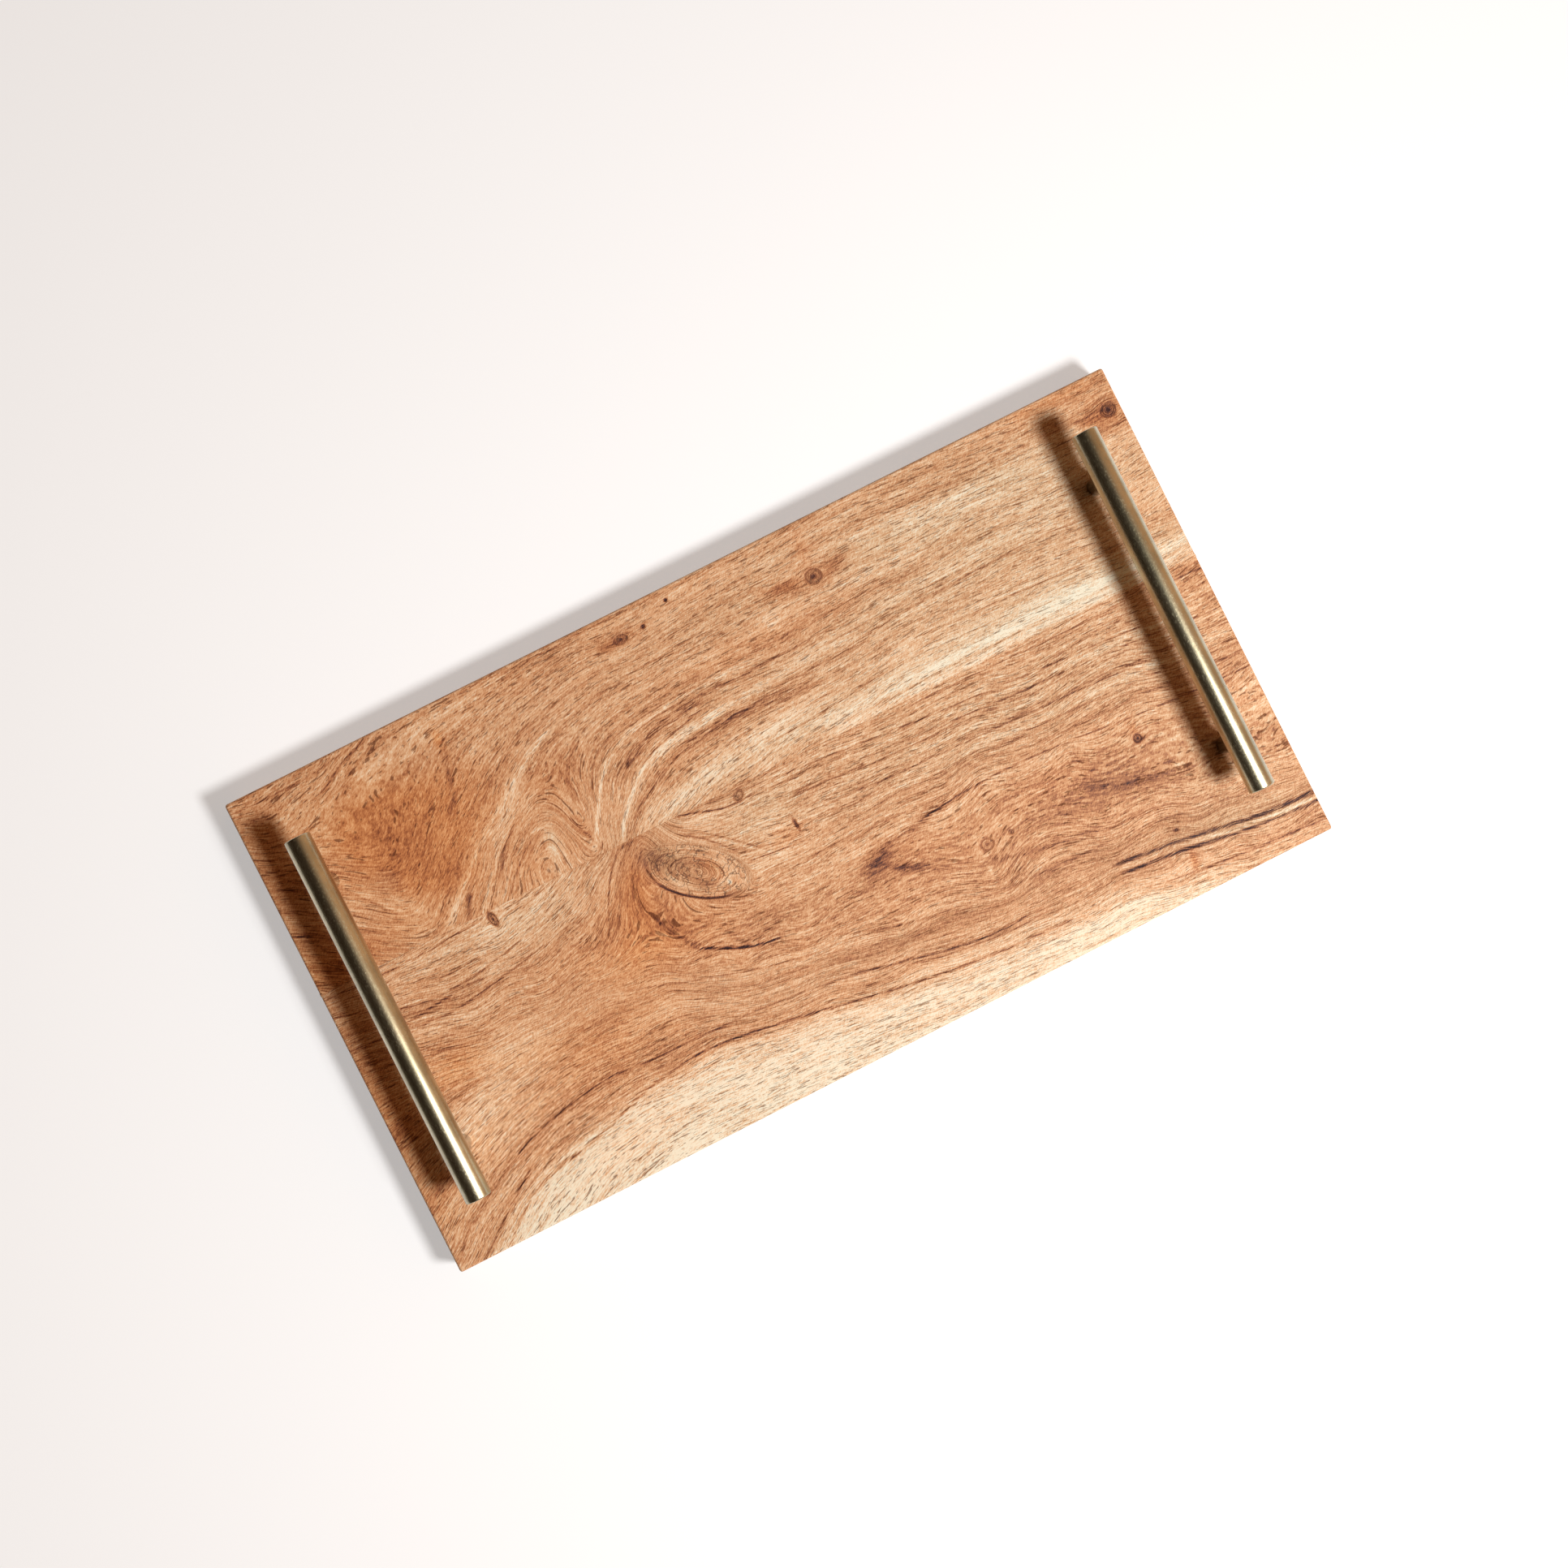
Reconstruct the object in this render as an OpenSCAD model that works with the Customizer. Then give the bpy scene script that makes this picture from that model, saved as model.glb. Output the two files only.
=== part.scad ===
// Serving tray: a board of two edge-glued acacia planks, with a round brass bar handle across each end.
// Each handle is a solid bar on two posts. A threaded stud holds each post to the bar, and a pan-head
// screw with a washer comes up through the board from a counterbore in its underside. The tray
// stands on four rubber feet.
// X runs along the board, Y across it towards the rear plank, and Z is up from the table.
// The origin is on the table, under the middle of the board.

/* [Board] */
// Length of the board, along the grain
board_length = 432; // [340:1:600]
// Width of the board, across both planks
board_width = 229; // [190:1:320]
// Thickness of the planks
board_thickness = 18; // [14:0.5:26]
// Width of the rear plank; the front plank takes the rest
rear_plank_width = 93; // [60:1:120]
// Radius of the sanded outer edges and corners
edge_radius = 1.2; // [0.6:0.1:3]

/* [Handles] */
// Diameter of the grip bar
bar_diameter = 12; // [10:0.5:16]
// Length of the grip bar
bar_length = 172; // [150:1:186]
// Chamfer at each end of the bar
bar_chamfer = 0.6; // [0.3:0.1:1.5]
// Height of the finger gap, from the board up to the bar
finger_gap = 20; // [16:0.5:40]
// Distance between the two posts of a handle, centre to centre
post_spacing = 128; // [96:1:134]
// Diameter of a post
post_diameter = 8; // [7:0.25:9.5]
// Distance from the end of the board to the middle of the bar
handle_inset = 26.3; // [20:0.1:60]
// How far the left handle sits behind the board's centre line
left_handle_offset = 0; // [-6:0.5:6]
// How far the right handle sits behind the board's centre line
right_handle_offset = 4.5; // [-6:0.5:6]

/* [Fasteners] */
// Thread diameter of the screws and the studs
thread_diameter = 4; // [3:0.5:5]
// Depth of the screw's thread in the post
screw_engagement = 8.7; // [6:0.1:9]
// Diameter of the screw head
head_diameter = 8; // [7:0.1:9]
// Height of the domed screw head
head_height = 3; // [2:0.1:3.5]
// How far the middle of the head is domed above its rim
head_dome = 1; // [0.4:0.1:1.2]
// Length of the cross recess in the head, tip to tip
recess_length = 4.4; // [3:0.1:5]
// Width of each slot of the cross recess
recess_width = 1; // [0.6:0.1:1.5]
// Depth of the cross recess
recess_depth = 1.6; // [0.8:0.1:2]
// Outer diameter of the washer
washer_diameter = 9; // [9:0.1:12]
// Thickness of the washer
washer_thickness = 0.8; // [0.5:0.1:1.5]
// Depth of the counterbore in the underside
counterbore_depth = 5.5; // [4.5:0.5:8]
// Length of stud in the bar, and again in the post
stud_engagement = 6; // [4:0.5:7]
// Hexagon socket of the stud, across its flats
socket_flats = 2; // [1.5:0.1:2.5]
// Depth of the stud's hexagon socket
socket_depth = 2; // [1.5:0.1:3]
// Chamfer at the ends of the studs and the screws
thread_chamfer = 0.5; // [0.2:0.1:0.8]

/* [Feet] */
// Diameter of a foot where it is stuck to the board
foot_diameter = 12.7; // [8:0.1:16]
// Height of a foot
foot_height = 2.2; // [2:0.1:5]
// How much narrower the foot is at the table, on each side
foot_taper = 0.5; // [0.2:0.1:1]
// Radius of the foot's rim at the table
foot_rim = 0.7; // [0.3:0.1:1]
// Distance from the board's edges to the middle of a foot
foot_inset = 16; // [12:0.5:20]

/* [Clearances] */
// Radial gap between a thread and its tapped hole
thread_clearance = 0.05; // [0.02:0.01:0.1]
// Radial gap between the screw and its hole in the board
hole_clearance = 0.25; // [0.1:0.05:0.5]
// Radial gap between the screw and the washer's hole
washer_clearance = 0.15; // [0.1:0.05:0.3]
// Radial gap between the washer and the counterbore
counterbore_clearance = 1; // [0.5:0.1:1.5]
// Empty depth past the end of each thread
tip_clearance = 1; // [0.5:0.1:1.5]

/* [Hidden] */
$fn = 96;
past = 1;  // how far a cutter runs past the surface it cuts
wood_colour = "#c58f63";
brass_colour = "#b39b62";
steel_colour = "#b9bcc0";
rubber_colour = "#3a3735";

// Heights
board_bottom = foot_height;
board_top = board_bottom + board_thickness;
bar_radius = bar_diameter / 2;
bar_height = board_top + finger_gap + bar_radius;
seat_height = board_bottom + counterbore_depth;  // where the washer bears on the wood

// Places on the board
seam_y = board_width / 2 - rear_plank_width;
bar_x = board_length / 2 - handle_inset;
foot_x = board_length / 2 - foot_inset;
foot_y = board_width / 2 - foot_inset;

// Fasteners
thread_radius = thread_diameter / 2;
tapped_radius = thread_radius + thread_clearance;
washer_bore_radius = thread_radius + washer_clearance;
head_top = seat_height - washer_thickness;
screw_tip = board_top + screw_engagement;
bar_underside = bar_height - bar_radius;

// The two sides: name, which way along X, and the handle's offset
SIDES = [["left", -1, left_handle_offset], ["right", 1, right_handle_offset]];
// The two ends of each handle: name, and which way along Y
ENDS = [["rear", 1], ["front", -1]];
// The four corners: name, handle side, and end
CORNERS = [for (s = SIDES) for (e = ENDS) [str(s[0], "_", e[0]), s, e]];
PIECES = ["post", "stud", "screw", "washer", "foot"];

NODES = concat(
    ["rear_plank", "front_plank"],
    [for (s = SIDES) str(s[0], "_bar")],
    [for (c = CORNERS) for (p = PIECES) str(c[0], "_", p)]
);
node = "all";

function wanted(name) = node == "all" || node == name;
function post_x(corner) = corner[1][1] * bar_x;
function post_y(corner) = corner[1][2] + corner[2][1] * post_spacing / 2;

// A rectangle with true round corners
module round_rectangle(length, width, radius) {
    square([length - 2 * radius, width], center = true);
    square([length, width - 2 * radius], center = true);
    for (x = [-1, 1], y = [-1, 1])
        translate([x * (length / 2 - radius), y * (width / 2 - radius)])
            circle(radius);
}

// The glued-up board before drilling, with its edges eased along all three directions
module board_blank() {
    translate([0, 0, board_bottom + board_thickness / 2])
        intersection() {
            linear_extrude(board_thickness, center = true)
                round_rectangle(board_length, board_width, edge_radius);
            rotate([90, 0, 0])
                linear_extrude(board_width, center = true)
                    round_rectangle(board_length, board_thickness, edge_radius);
            rotate([90, 0, 90])
                linear_extrude(board_length, center = true)
                    round_rectangle(board_width, board_thickness, edge_radius);
        }
}

// One screw's way through the board: the shank hole and its counterbore
module screw_way() {
    translate([0, 0, board_bottom - past])
        cylinder(r = thread_radius + hole_clearance, h = board_thickness + 2 * past);
    translate([0, 0, board_bottom - past])
        cylinder(r = washer_diameter / 2 + counterbore_clearance, h = counterbore_depth + past);
}

module all_screw_ways() {
    for (c = CORNERS)
        translate([post_x(c), post_y(c), 0])
            screw_way();
}

// The strip of the board between two places across its width
module plank(low_y, high_y) {
    color(wood_colour)
        difference() {
            intersection() {
                board_blank();
                translate([-board_length / 2 - past, low_y, 0])
                    cube([board_length + 2 * past, high_y - low_y, board_top + past]);
            }
            all_screw_ways();
        }
}

module rear_plank() {
    plank(seam_y, board_width / 2 + past);
}

module front_plank() {
    plank(-board_width / 2 - past, seam_y);
}

// The grip bar, turned about its own axis, with a blind tapped hole over each post
module bar(side) {
    half = bar_length / 2;
    color(brass_colour)
        difference() {
            translate([side[1] * bar_x, side[2], bar_height])
                rotate([90, 0, 0])
                    rotate_extrude()
                        polygon([
                            [0, -half],
                            [bar_radius - bar_chamfer, -half],
                            [bar_radius, -half + bar_chamfer],
                            [bar_radius, half - bar_chamfer],
                            [bar_radius - bar_chamfer, half],
                            [0, half]
                        ]);
            for (e = ENDS)
                translate([side[1] * bar_x, side[2] + e[1] * post_spacing / 2, bar_underside - past])
                    cylinder(r = tapped_radius, h = stud_engagement + tip_clearance + past);
        }
}

// A post, coped at its top to sit against the round of the bar
module post(corner) {
    color(brass_colour)
        translate([post_x(corner), post_y(corner), 0])
            difference() {
                translate([0, 0, board_top])
                    cylinder(d = post_diameter, h = bar_height - board_top);
                translate([0, 0, bar_height])
                    rotate([90, 0, 0])
                        cylinder(r = bar_radius, h = post_diameter + 2 * past, center = true);
                translate([0, 0, board_top - past])
                    cylinder(r = tapped_radius, h = screw_engagement + tip_clearance + past);
                translate([0, 0, bar_underside - stud_engagement - tip_clearance])
                    cylinder(r = tapped_radius, h = stud_engagement + tip_clearance + past);
            }
}

// The threaded stud between a post and the bar, with a hexagon socket in its lower end
module stud(corner) {
    bottom = bar_underside - stud_engagement;
    top = bar_underside + stud_engagement;
    color(steel_colour)
        translate([post_x(corner), post_y(corner), 0])
            difference() {
                rotate_extrude()
                    polygon([
                        [0, bottom],
                        [thread_radius - thread_chamfer, bottom],
                        [thread_radius, bottom + thread_chamfer],
                        [thread_radius, top - thread_chamfer],
                        [thread_radius - thread_chamfer, top],
                        [0, top]
                    ]);
                translate([0, 0, bottom - past])
                    cylinder(d = socket_flats / cos(30), h = socket_depth + past, $fn = 6);
            }
}

// A pan-head machine screw, driven up from the counterbore, with a cross recess in its dome
module screw(corner) {
    head_radius = head_diameter / 2;
    dome_radius = (head_radius ^ 2 + head_dome ^ 2) / (2 * head_dome);
    head_bottom = head_top - head_height;
    color(steel_colour)
        translate([post_x(corner), post_y(corner), 0])
            difference() {
                union() {
                    rotate_extrude()
                        polygon([
                            [0, head_top],
                            [thread_radius, head_top],
                            [thread_radius, screw_tip - thread_chamfer],
                            [thread_radius - thread_chamfer, screw_tip],
                            [0, screw_tip]
                        ]);
                    intersection() {
                        translate([0, 0, head_bottom])
                            cylinder(r = head_radius, h = head_height);
                        translate([0, 0, head_bottom + dome_radius])
                            sphere(r = dome_radius);
                    }
                }
                for (turn = [0, 90])
                    rotate(turn)
                        translate([-recess_length / 2, -recess_width / 2, head_bottom - past])
                            cube([recess_length, recess_width, recess_depth + past]);
            }
}

// A plain washer, seated at the top of the counterbore
module washer(corner) {
    color(steel_colour)
        translate([post_x(corner), post_y(corner), head_top])
            difference() {
                cylinder(d = washer_diameter, h = washer_thickness);
                translate([0, 0, -past])
                    cylinder(r = washer_bore_radius, h = washer_thickness + 2 * past);
            }
}

// A stuck-on rubber foot, tapered towards the table and rounded at its rim
module foot(corner) {
    tread_radius = foot_diameter / 2 - foot_taper - foot_rim;
    color(rubber_colour)
        translate([corner[1][1] * foot_x, corner[2][1] * foot_y, 0])
            rotate_extrude()
                union() {
                    polygon([
                        [0, 0],
                        [tread_radius, 0],
                        [tread_radius + foot_rim, foot_rim],
                        [foot_diameter / 2, foot_height],
                        [0, foot_height]
                    ]);
                    translate([tread_radius, foot_rim])
                        intersection() {
                            circle(foot_rim);
                            translate([0, -foot_rim])
                                square(foot_rim);
                        }
                }
}

if (wanted("rear_plank")) rear_plank();
if (wanted("front_plank")) front_plank();
for (s = SIDES)
    if (wanted(str(s[0], "_bar"))) bar(s);
for (c = CORNERS) {
    if (wanted(str(c[0], "_post"))) post(c);
    if (wanted(str(c[0], "_stud"))) stud(c);
    if (wanted(str(c[0], "_screw"))) screw(c);
    if (wanted(str(c[0], "_washer"))) washer(c);
    if (wanted(str(c[0], "_foot"))) foot(c);
}
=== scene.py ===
# %% [markdown]
# # A hardwood serving tray with round brass handles
#
# The tray is a board of two edge-glued acacia planks. A solid brass bar crosses each short end on two
# posts, screws come up through the board to hold the posts, and four rubber feet keep it off the table.
# The measured frame gives every piece its size and place. This script remodels each piece on it, so
# that edges are truly rounded and knots are truly sunken, and gives each one its finish.

# %% Load the measured frame
import math

import bmesh
import bpy
import numpy as np
from mathutils import Matrix, Vector


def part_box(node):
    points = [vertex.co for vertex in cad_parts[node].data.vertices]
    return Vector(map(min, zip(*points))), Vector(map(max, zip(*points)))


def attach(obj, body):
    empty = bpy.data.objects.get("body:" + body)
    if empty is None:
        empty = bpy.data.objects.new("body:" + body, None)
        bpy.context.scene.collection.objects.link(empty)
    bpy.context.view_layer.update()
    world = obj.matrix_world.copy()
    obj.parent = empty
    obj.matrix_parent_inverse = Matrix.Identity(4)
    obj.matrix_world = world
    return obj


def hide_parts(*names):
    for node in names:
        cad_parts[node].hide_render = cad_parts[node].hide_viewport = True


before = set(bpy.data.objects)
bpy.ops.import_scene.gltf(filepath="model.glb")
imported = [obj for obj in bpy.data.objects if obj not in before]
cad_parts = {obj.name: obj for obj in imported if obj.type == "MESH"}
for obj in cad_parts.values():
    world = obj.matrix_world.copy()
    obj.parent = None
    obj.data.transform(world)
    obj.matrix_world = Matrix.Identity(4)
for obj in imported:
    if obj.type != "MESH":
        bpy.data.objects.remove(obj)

MM = 0.001
SIDES = ("left", "right")
ENDS = ("rear", "front")
CORNERS = [f"{side}_{end}" for side in SIDES for end in ENDS]

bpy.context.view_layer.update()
board_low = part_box("front_plank")[0]
board_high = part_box("rear_plank")[1]
board_top = board_high.z


# %% [markdown]
# ## Camera
#
# The tray lies flat and is looked at from almost straight above, turned so that its long side climbs
# to the right. A 50 mm lens nearly a metre up keeps the handles from leaning outwards too much. The
# camera's own axes are built from three directions, which is easier to read than three angles.

# %% Place the camera above the board
CAMERA_PLACE = Vector((-0.029, 0.021, board_top + 0.959))
CAMERA_AIM = Vector((0.0067, 0.0129, board_top))
CAMERA_TURN = math.radians(26.73)
LENS = 50

forward = (CAMERA_AIM - CAMERA_PLACE).normalized()
right = Vector((math.cos(CAMERA_TURN), -math.sin(CAMERA_TURN), 0))
right = (right - right.dot(forward) * forward).normalized()
up = right.cross(forward)

bpy.ops.object.camera_add()
camera = bpy.context.object
camera.name = "camera_above"
camera.data.lens = LENS
camera.matrix_world = Matrix.Translation(CAMERA_PLACE) @ Matrix((right, up, -forward)).transposed().to_4x4()
bpy.context.scene.camera = camera
print("camera height over the board, mm:", round(1000 * (CAMERA_PLACE.z - board_top)))


# %% [markdown]
# ## Light and floor
#
# One round soft lamp stands off the front right corner, so the bars throw soft-edged shadows to the
# rear left. Metal shows what stands around it, so the room is not one even grey: it is nearly dark
# overhead and on the left, which gives the dark olive band along each bar, and glows warmly on the
# right, which lifts the shadows. Looked at directly, the room is a plain pale backdrop. The floor
# glows a little, as a bright table does, so that the board's shadow on it stays light.

# %% Lamp, room and floor
KEY_PLACE = Vector((0.44, -0.50, board_top + 1.056))
KEY_SIZE = 0.28
KEY_POWER = 19.5
ROOM_COLOUR = (1.0, 0.56, 0.30, 1)
ROOM_DARK = 0.03
ROOM_BRIGHT = 0.75
BACKDROP = 0.95
FLOOR_SIZE = 14
FLOOR_ALBEDO = 0.53
FLOOR_GLOW = 0.43

bpy.ops.object.light_add(type="AREA", location=KEY_PLACE)
key = bpy.context.object
key.name = "key_lamp"
key.data.shape = "DISK"
key.data.size = KEY_SIZE
key.data.energy = KEY_POWER
key.rotation_euler = (Vector((0, 0, board_top)) - KEY_PLACE).to_track_quat("-Z", "Y").to_euler()

world = bpy.data.worlds.new("studio_room")
bpy.context.scene.world = world
world.use_nodes = True
room = world.node_tree
direction = room.nodes.new("ShaderNodeTexCoord")
sides = room.nodes.new("ShaderNodeSeparateXYZ")
room.links.new(direction.outputs["Generated"], sides.inputs["Vector"])
side_glow = room.nodes.new("ShaderNodeMapRange")
side_glow.interpolation_type = "SMOOTHSTEP"
side_glow.inputs["From Min"].default_value = -0.15
side_glow.inputs["From Max"].default_value = 0.95
side_glow.inputs["To Min"].default_value = ROOM_DARK
side_glow.inputs["To Max"].default_value = ROOM_BRIGHT
room.links.new(sides.outputs["X"], side_glow.inputs["Value"])
seen_directly = room.nodes.new("ShaderNodeLightPath")
strength = room.nodes.new("ShaderNodeMix")
strength.inputs["B"].default_value = BACKDROP
room.links.new(seen_directly.outputs["Is Camera Ray"], strength.inputs["Factor"])
room.links.new(side_glow.outputs["Result"], strength.inputs["A"])
tint = room.nodes.new("ShaderNodeMix")
tint.data_type = "RGBA"
tint.inputs["A"].default_value = ROOM_COLOUR
tint.inputs["B"].default_value = (1, 1, 1, 1)
room.links.new(seen_directly.outputs["Is Camera Ray"], tint.inputs["Factor"])
room.links.new(strength.outputs["Result"], room.nodes["Background"].inputs["Strength"])
room.links.new(tint.outputs["Result"], room.nodes["Background"].inputs["Color"])

bpy.ops.mesh.primitive_plane_add(size=FLOOR_SIZE, location=(0, 0, 0))
floor = bpy.context.object
floor.name = "floor"
floor_paint = bpy.data.materials.new("pale_floor")
floor_paint.use_nodes = True
floor_shader = floor_paint.node_tree.nodes["Principled BSDF"]
floor_shader.inputs["Base Color"].default_value = (FLOOR_ALBEDO, FLOOR_ALBEDO, FLOOR_ALBEDO, 1)
floor_shader.inputs["Roughness"].default_value = 0.9
floor_shader.inputs["Specular IOR Level"].default_value = 0.0
floor_shader.inputs["Emission Color"].default_value = (1, 1, 1, 1)
floor_shader.inputs["Emission Strength"].default_value = FLOOR_GLOW
floor.data.materials.append(floor_paint)
bpy.context.scene.view_settings.view_transform = "Standard"
print("key lamp, mm from the board's middle:", round(1000 * KEY_PLACE.length))


# %% [markdown]
# ## Modelling helpers
#
# Every piece starts from a primitive and is shaped in edit mode, as by hand. These helpers do the
# steps that repeat: clear the selection, work in edit mode, select by place, and apply a modifier.

# %% Helpers for modelling by operator
def start_piece(name):
    """Takes the primitive that was just added as a new piece, with its place moved into its mesh."""
    piece = bpy.context.object
    piece.name = name
    piece.data.name = name
    bpy.ops.object.transform_apply(location=True, rotation=True, scale=True)
    return piece


def only(piece):
    """Selects one piece and nothing else."""
    bpy.ops.object.select_all(action="DESELECT")
    piece.select_set(True)
    bpy.context.view_layer.objects.active = piece


def edit(piece, mode="FACE"):
    """Goes into edit mode on one piece, with nothing selected."""
    only(piece)
    bpy.ops.object.mode_set(mode="EDIT")
    bpy.ops.mesh.select_mode(type=mode)
    bpy.ops.mesh.select_all(action="DESELECT")
    return bmesh.from_edit_mesh(piece.data)


def finish_edit():
    bpy.ops.object.mode_set(mode="OBJECT")


def pick(piece, shape, elements, test):
    """Selects the edges or faces whose test holds, and says how many there are."""
    chosen = [element for element in elements if test(element)]
    for element in chosen:
        element.select_set(True)
    shape.select_flush_mode()
    bmesh.update_edit_mesh(piece.data)
    return len(chosen)


def cut(piece, cutter):
    """Cuts a closed shape out of a piece, and throws the cutter away."""
    only(piece)
    bpy.ops.object.modifier_add(type="BOOLEAN")
    boolean = piece.modifiers[-1]
    boolean.operation = "DIFFERENCE"
    boolean.solver = "EXACT"
    boolean.object = cutter
    bpy.ops.object.modifier_apply(modifier=boolean.name)
    bpy.data.objects.remove(cutter)


def copy_piece(piece, name, shift):
    """A copy with its own mesh, moved by a shift that goes into the mesh."""
    twin = piece.copy()
    twin.data = piece.data.copy()
    twin.name = name
    twin.data.name = name
    bpy.context.scene.collection.objects.link(twin)
    twin.data.transform(Matrix.Translation(shift))
    return twin


def hand_over(piece, node, material):
    """A finished piece takes the place of its node in the frame."""
    piece.data.materials.clear()
    piece.data.materials.append(material)
    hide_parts(node)
    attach(piece, "root")


def middle(node):
    low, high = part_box(node)
    return (low + high) / 2


# %% [markdown]
# ## Shader helpers
#
# A wood finish is mostly arithmetic on coordinates: distances, soft steps and sums. `Number` wraps the
# output of a shader node so that such arithmetic reads like a formula and still makes ordinary Math
# nodes. Effects that several materials share become node groups with named inputs and outputs.

# %% Arithmetic with shader nodes
def feed(tree, socket, value):
    """Links an output to an input, or sets the input's own value."""
    if isinstance(value, Number):
        value = value.socket
    if isinstance(value, bpy.types.NodeSocket):
        tree.links.new(value, socket)
    else:
        socket.default_value = value


def calculate(tree, operation, *values):
    node = tree.nodes.new("ShaderNodeMath")
    node.operation = operation
    for socket, value in zip(node.inputs, values):
        feed(tree, socket, value)
    return Number(tree, node.outputs[0])


class Number:
    """A value that changes over the surface."""

    def __init__(self, tree, socket):
        self.tree = tree
        self.socket = socket

    def __add__(self, other):
        return calculate(self.tree, "ADD", self, other)

    def __sub__(self, other):
        return calculate(self.tree, "SUBTRACT", self, other)

    def __rsub__(self, other):
        return calculate(self.tree, "SUBTRACT", other, self)

    def __mul__(self, other):
        return calculate(self.tree, "MULTIPLY", self, other)

    def __truediv__(self, other):
        return calculate(self.tree, "DIVIDE", self, other)


def ramp_between(value, start, end):
    """A soft step: 0 at start and 1 at end, whichever is larger."""
    node = value.tree.nodes.new("ShaderNodeMapRange")
    node.interpolation_type = "SMOOTHSTEP"
    feed(value.tree, node.inputs["Value"], value)
    feed(value.tree, node.inputs["From Min"], start)
    feed(value.tree, node.inputs["From Max"], end)
    return Number(value.tree, node.outputs["Result"])


def bell(value, centre, half_width):
    """A smooth hump: 1 at its centre, and almost nothing two half widths away."""
    distance = (value - centre) / half_width
    return calculate(value.tree, "EXPONENT", distance * distance * -1.0)


def grain_noise(tree, coordinates, scales, detail=2.0, roughness=0.5, seed=0.0):
    """Noise with its own number of features per millimetre along each coordinate, from 0 to 1."""
    joined = tree.nodes.new("ShaderNodeCombineXYZ")
    for socket, coordinate, scale in zip(joined.inputs, coordinates, scales):
        feed(tree, socket, coordinate * scale + seed)
    noise = tree.nodes.new("ShaderNodeTexNoise")
    noise.inputs["Scale"].default_value = 1.0
    noise.inputs["Detail"].default_value = detail
    noise.inputs["Roughness"].default_value = roughness
    tree.links.new(joined.outputs["Vector"], noise.inputs["Vector"])
    return Number(tree, noise.outputs["Fac"])


def blend_colours(tree, share, first, second, mode="MIX"):
    node = tree.nodes.new("ShaderNodeMix")
    node.data_type = "RGBA"
    node.blend_type = mode
    feed(tree, node.inputs["Factor"], share)
    feed(tree, node.inputs["A"], first)
    feed(tree, node.inputs["B"], second)
    return node.outputs["Result"]


def colour_ramp(value, stops):
    node = value.tree.nodes.new("ShaderNodeValToRGB")
    elements = node.color_ramp.elements
    while len(elements) < len(stops):
        elements.new(0.5)
    for element, (place, colour) in zip(elements, stops):
        element.position = place
        element.color = colour
    feed(value.tree, node.inputs["Fac"], value)
    return node.outputs["Color"]


def paint(red, green, blue):
    """A colour given in the usual 0 to 255 numbers of a paint chart, as the linear colour of a shader."""
    channels = (red / 255, green / 255, blue / 255)
    linear = [c / 12.92 if c <= 0.04045 else ((c + 0.055) / 1.055) ** 2.4 for c in channels]
    return (*linear, 1.0)


def new_group(name, inputs, outputs):
    """An empty shader group with named sockets, and its input and output nodes."""
    tree = bpy.data.node_groups.new(name, "ShaderNodeTree")
    kinds = {"value": "NodeSocketFloat", "colour": "NodeSocketColor"}
    for label, kind in inputs.items():
        tree.interface.new_socket(label, in_out="INPUT", socket_type=kinds[kind])
    for label, kind in outputs.items():
        tree.interface.new_socket(label, in_out="OUTPUT", socket_type=kinds[kind])
    entry = tree.nodes.new("NodeGroupInput")
    leave = tree.nodes.new("NodeGroupOutput")
    given = {label: Number(tree, entry.outputs[label]) for label in inputs}
    return tree, given, leave


def place_group(tree, group, **values):
    """Puts a group into a material. Spaces in socket names are written as underscores."""
    node = tree.nodes.new("ShaderNodeGroup")
    node.node_tree = group
    for label, value in values.items():
        feed(tree, node.inputs[label.replace("_", " ").capitalize()], value)
    return node


def new_material(name):
    """A material with nodes, its node tree and its main shader."""
    material = bpy.data.materials.new(name)
    material.use_nodes = True
    tree = material.node_tree
    return material, tree, tree.nodes["Principled BSDF"]


def object_place(tree):
    """The place of a point in the object's own coordinates, in millimetres."""
    coordinates = tree.nodes.new("ShaderNodeTexCoord")
    split = tree.nodes.new("ShaderNodeSeparateXYZ")
    tree.links.new(coordinates.outputs["Object"], split.inputs["Vector"])
    return [Number(tree, split.outputs[axis]) * 1000.0 for axis in "XYZ"]


def add_bump(tree, shader, height, depth, strength=1.0):
    """Tilts the shading by a height that is too fine to model."""
    bump = tree.nodes.new("ShaderNodeBump")
    bump.inputs["Distance"].default_value = depth
    bump.inputs["Strength"].default_value = strength
    feed(tree, bump.inputs["Height"], height)
    tree.links.new(bump.outputs["Normal"], shader.inputs["Normal"])


def attribute(tree, name):
    node = tree.nodes.new("ShaderNodeAttribute")
    node.attribute_name = name
    return Number(tree, node.outputs["Fac"])


# %% [markdown]
# ## The grain, drawn as lines
#
# Acacia is remarkable for its figure: grain lines that arch over a crotch, run around knots and then
# lie flat. A noise pattern can't place those, so they are drawn here as a maker would sketch them on
# the board: a few lines per plank, each through a handful of points, in millimetres from the board's
# rear left corner, along it and then across it. Each line has a label, its usual distance from the
# rear edge. A thin-plate surface through the labels, the shape a bent sheet of metal takes over pins,
# gives every point of the wood its grain number, and lines of equal number are the grain. A label that
# ends in .1 marks a second stretch of the line before it, past a knot or a gap.

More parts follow.
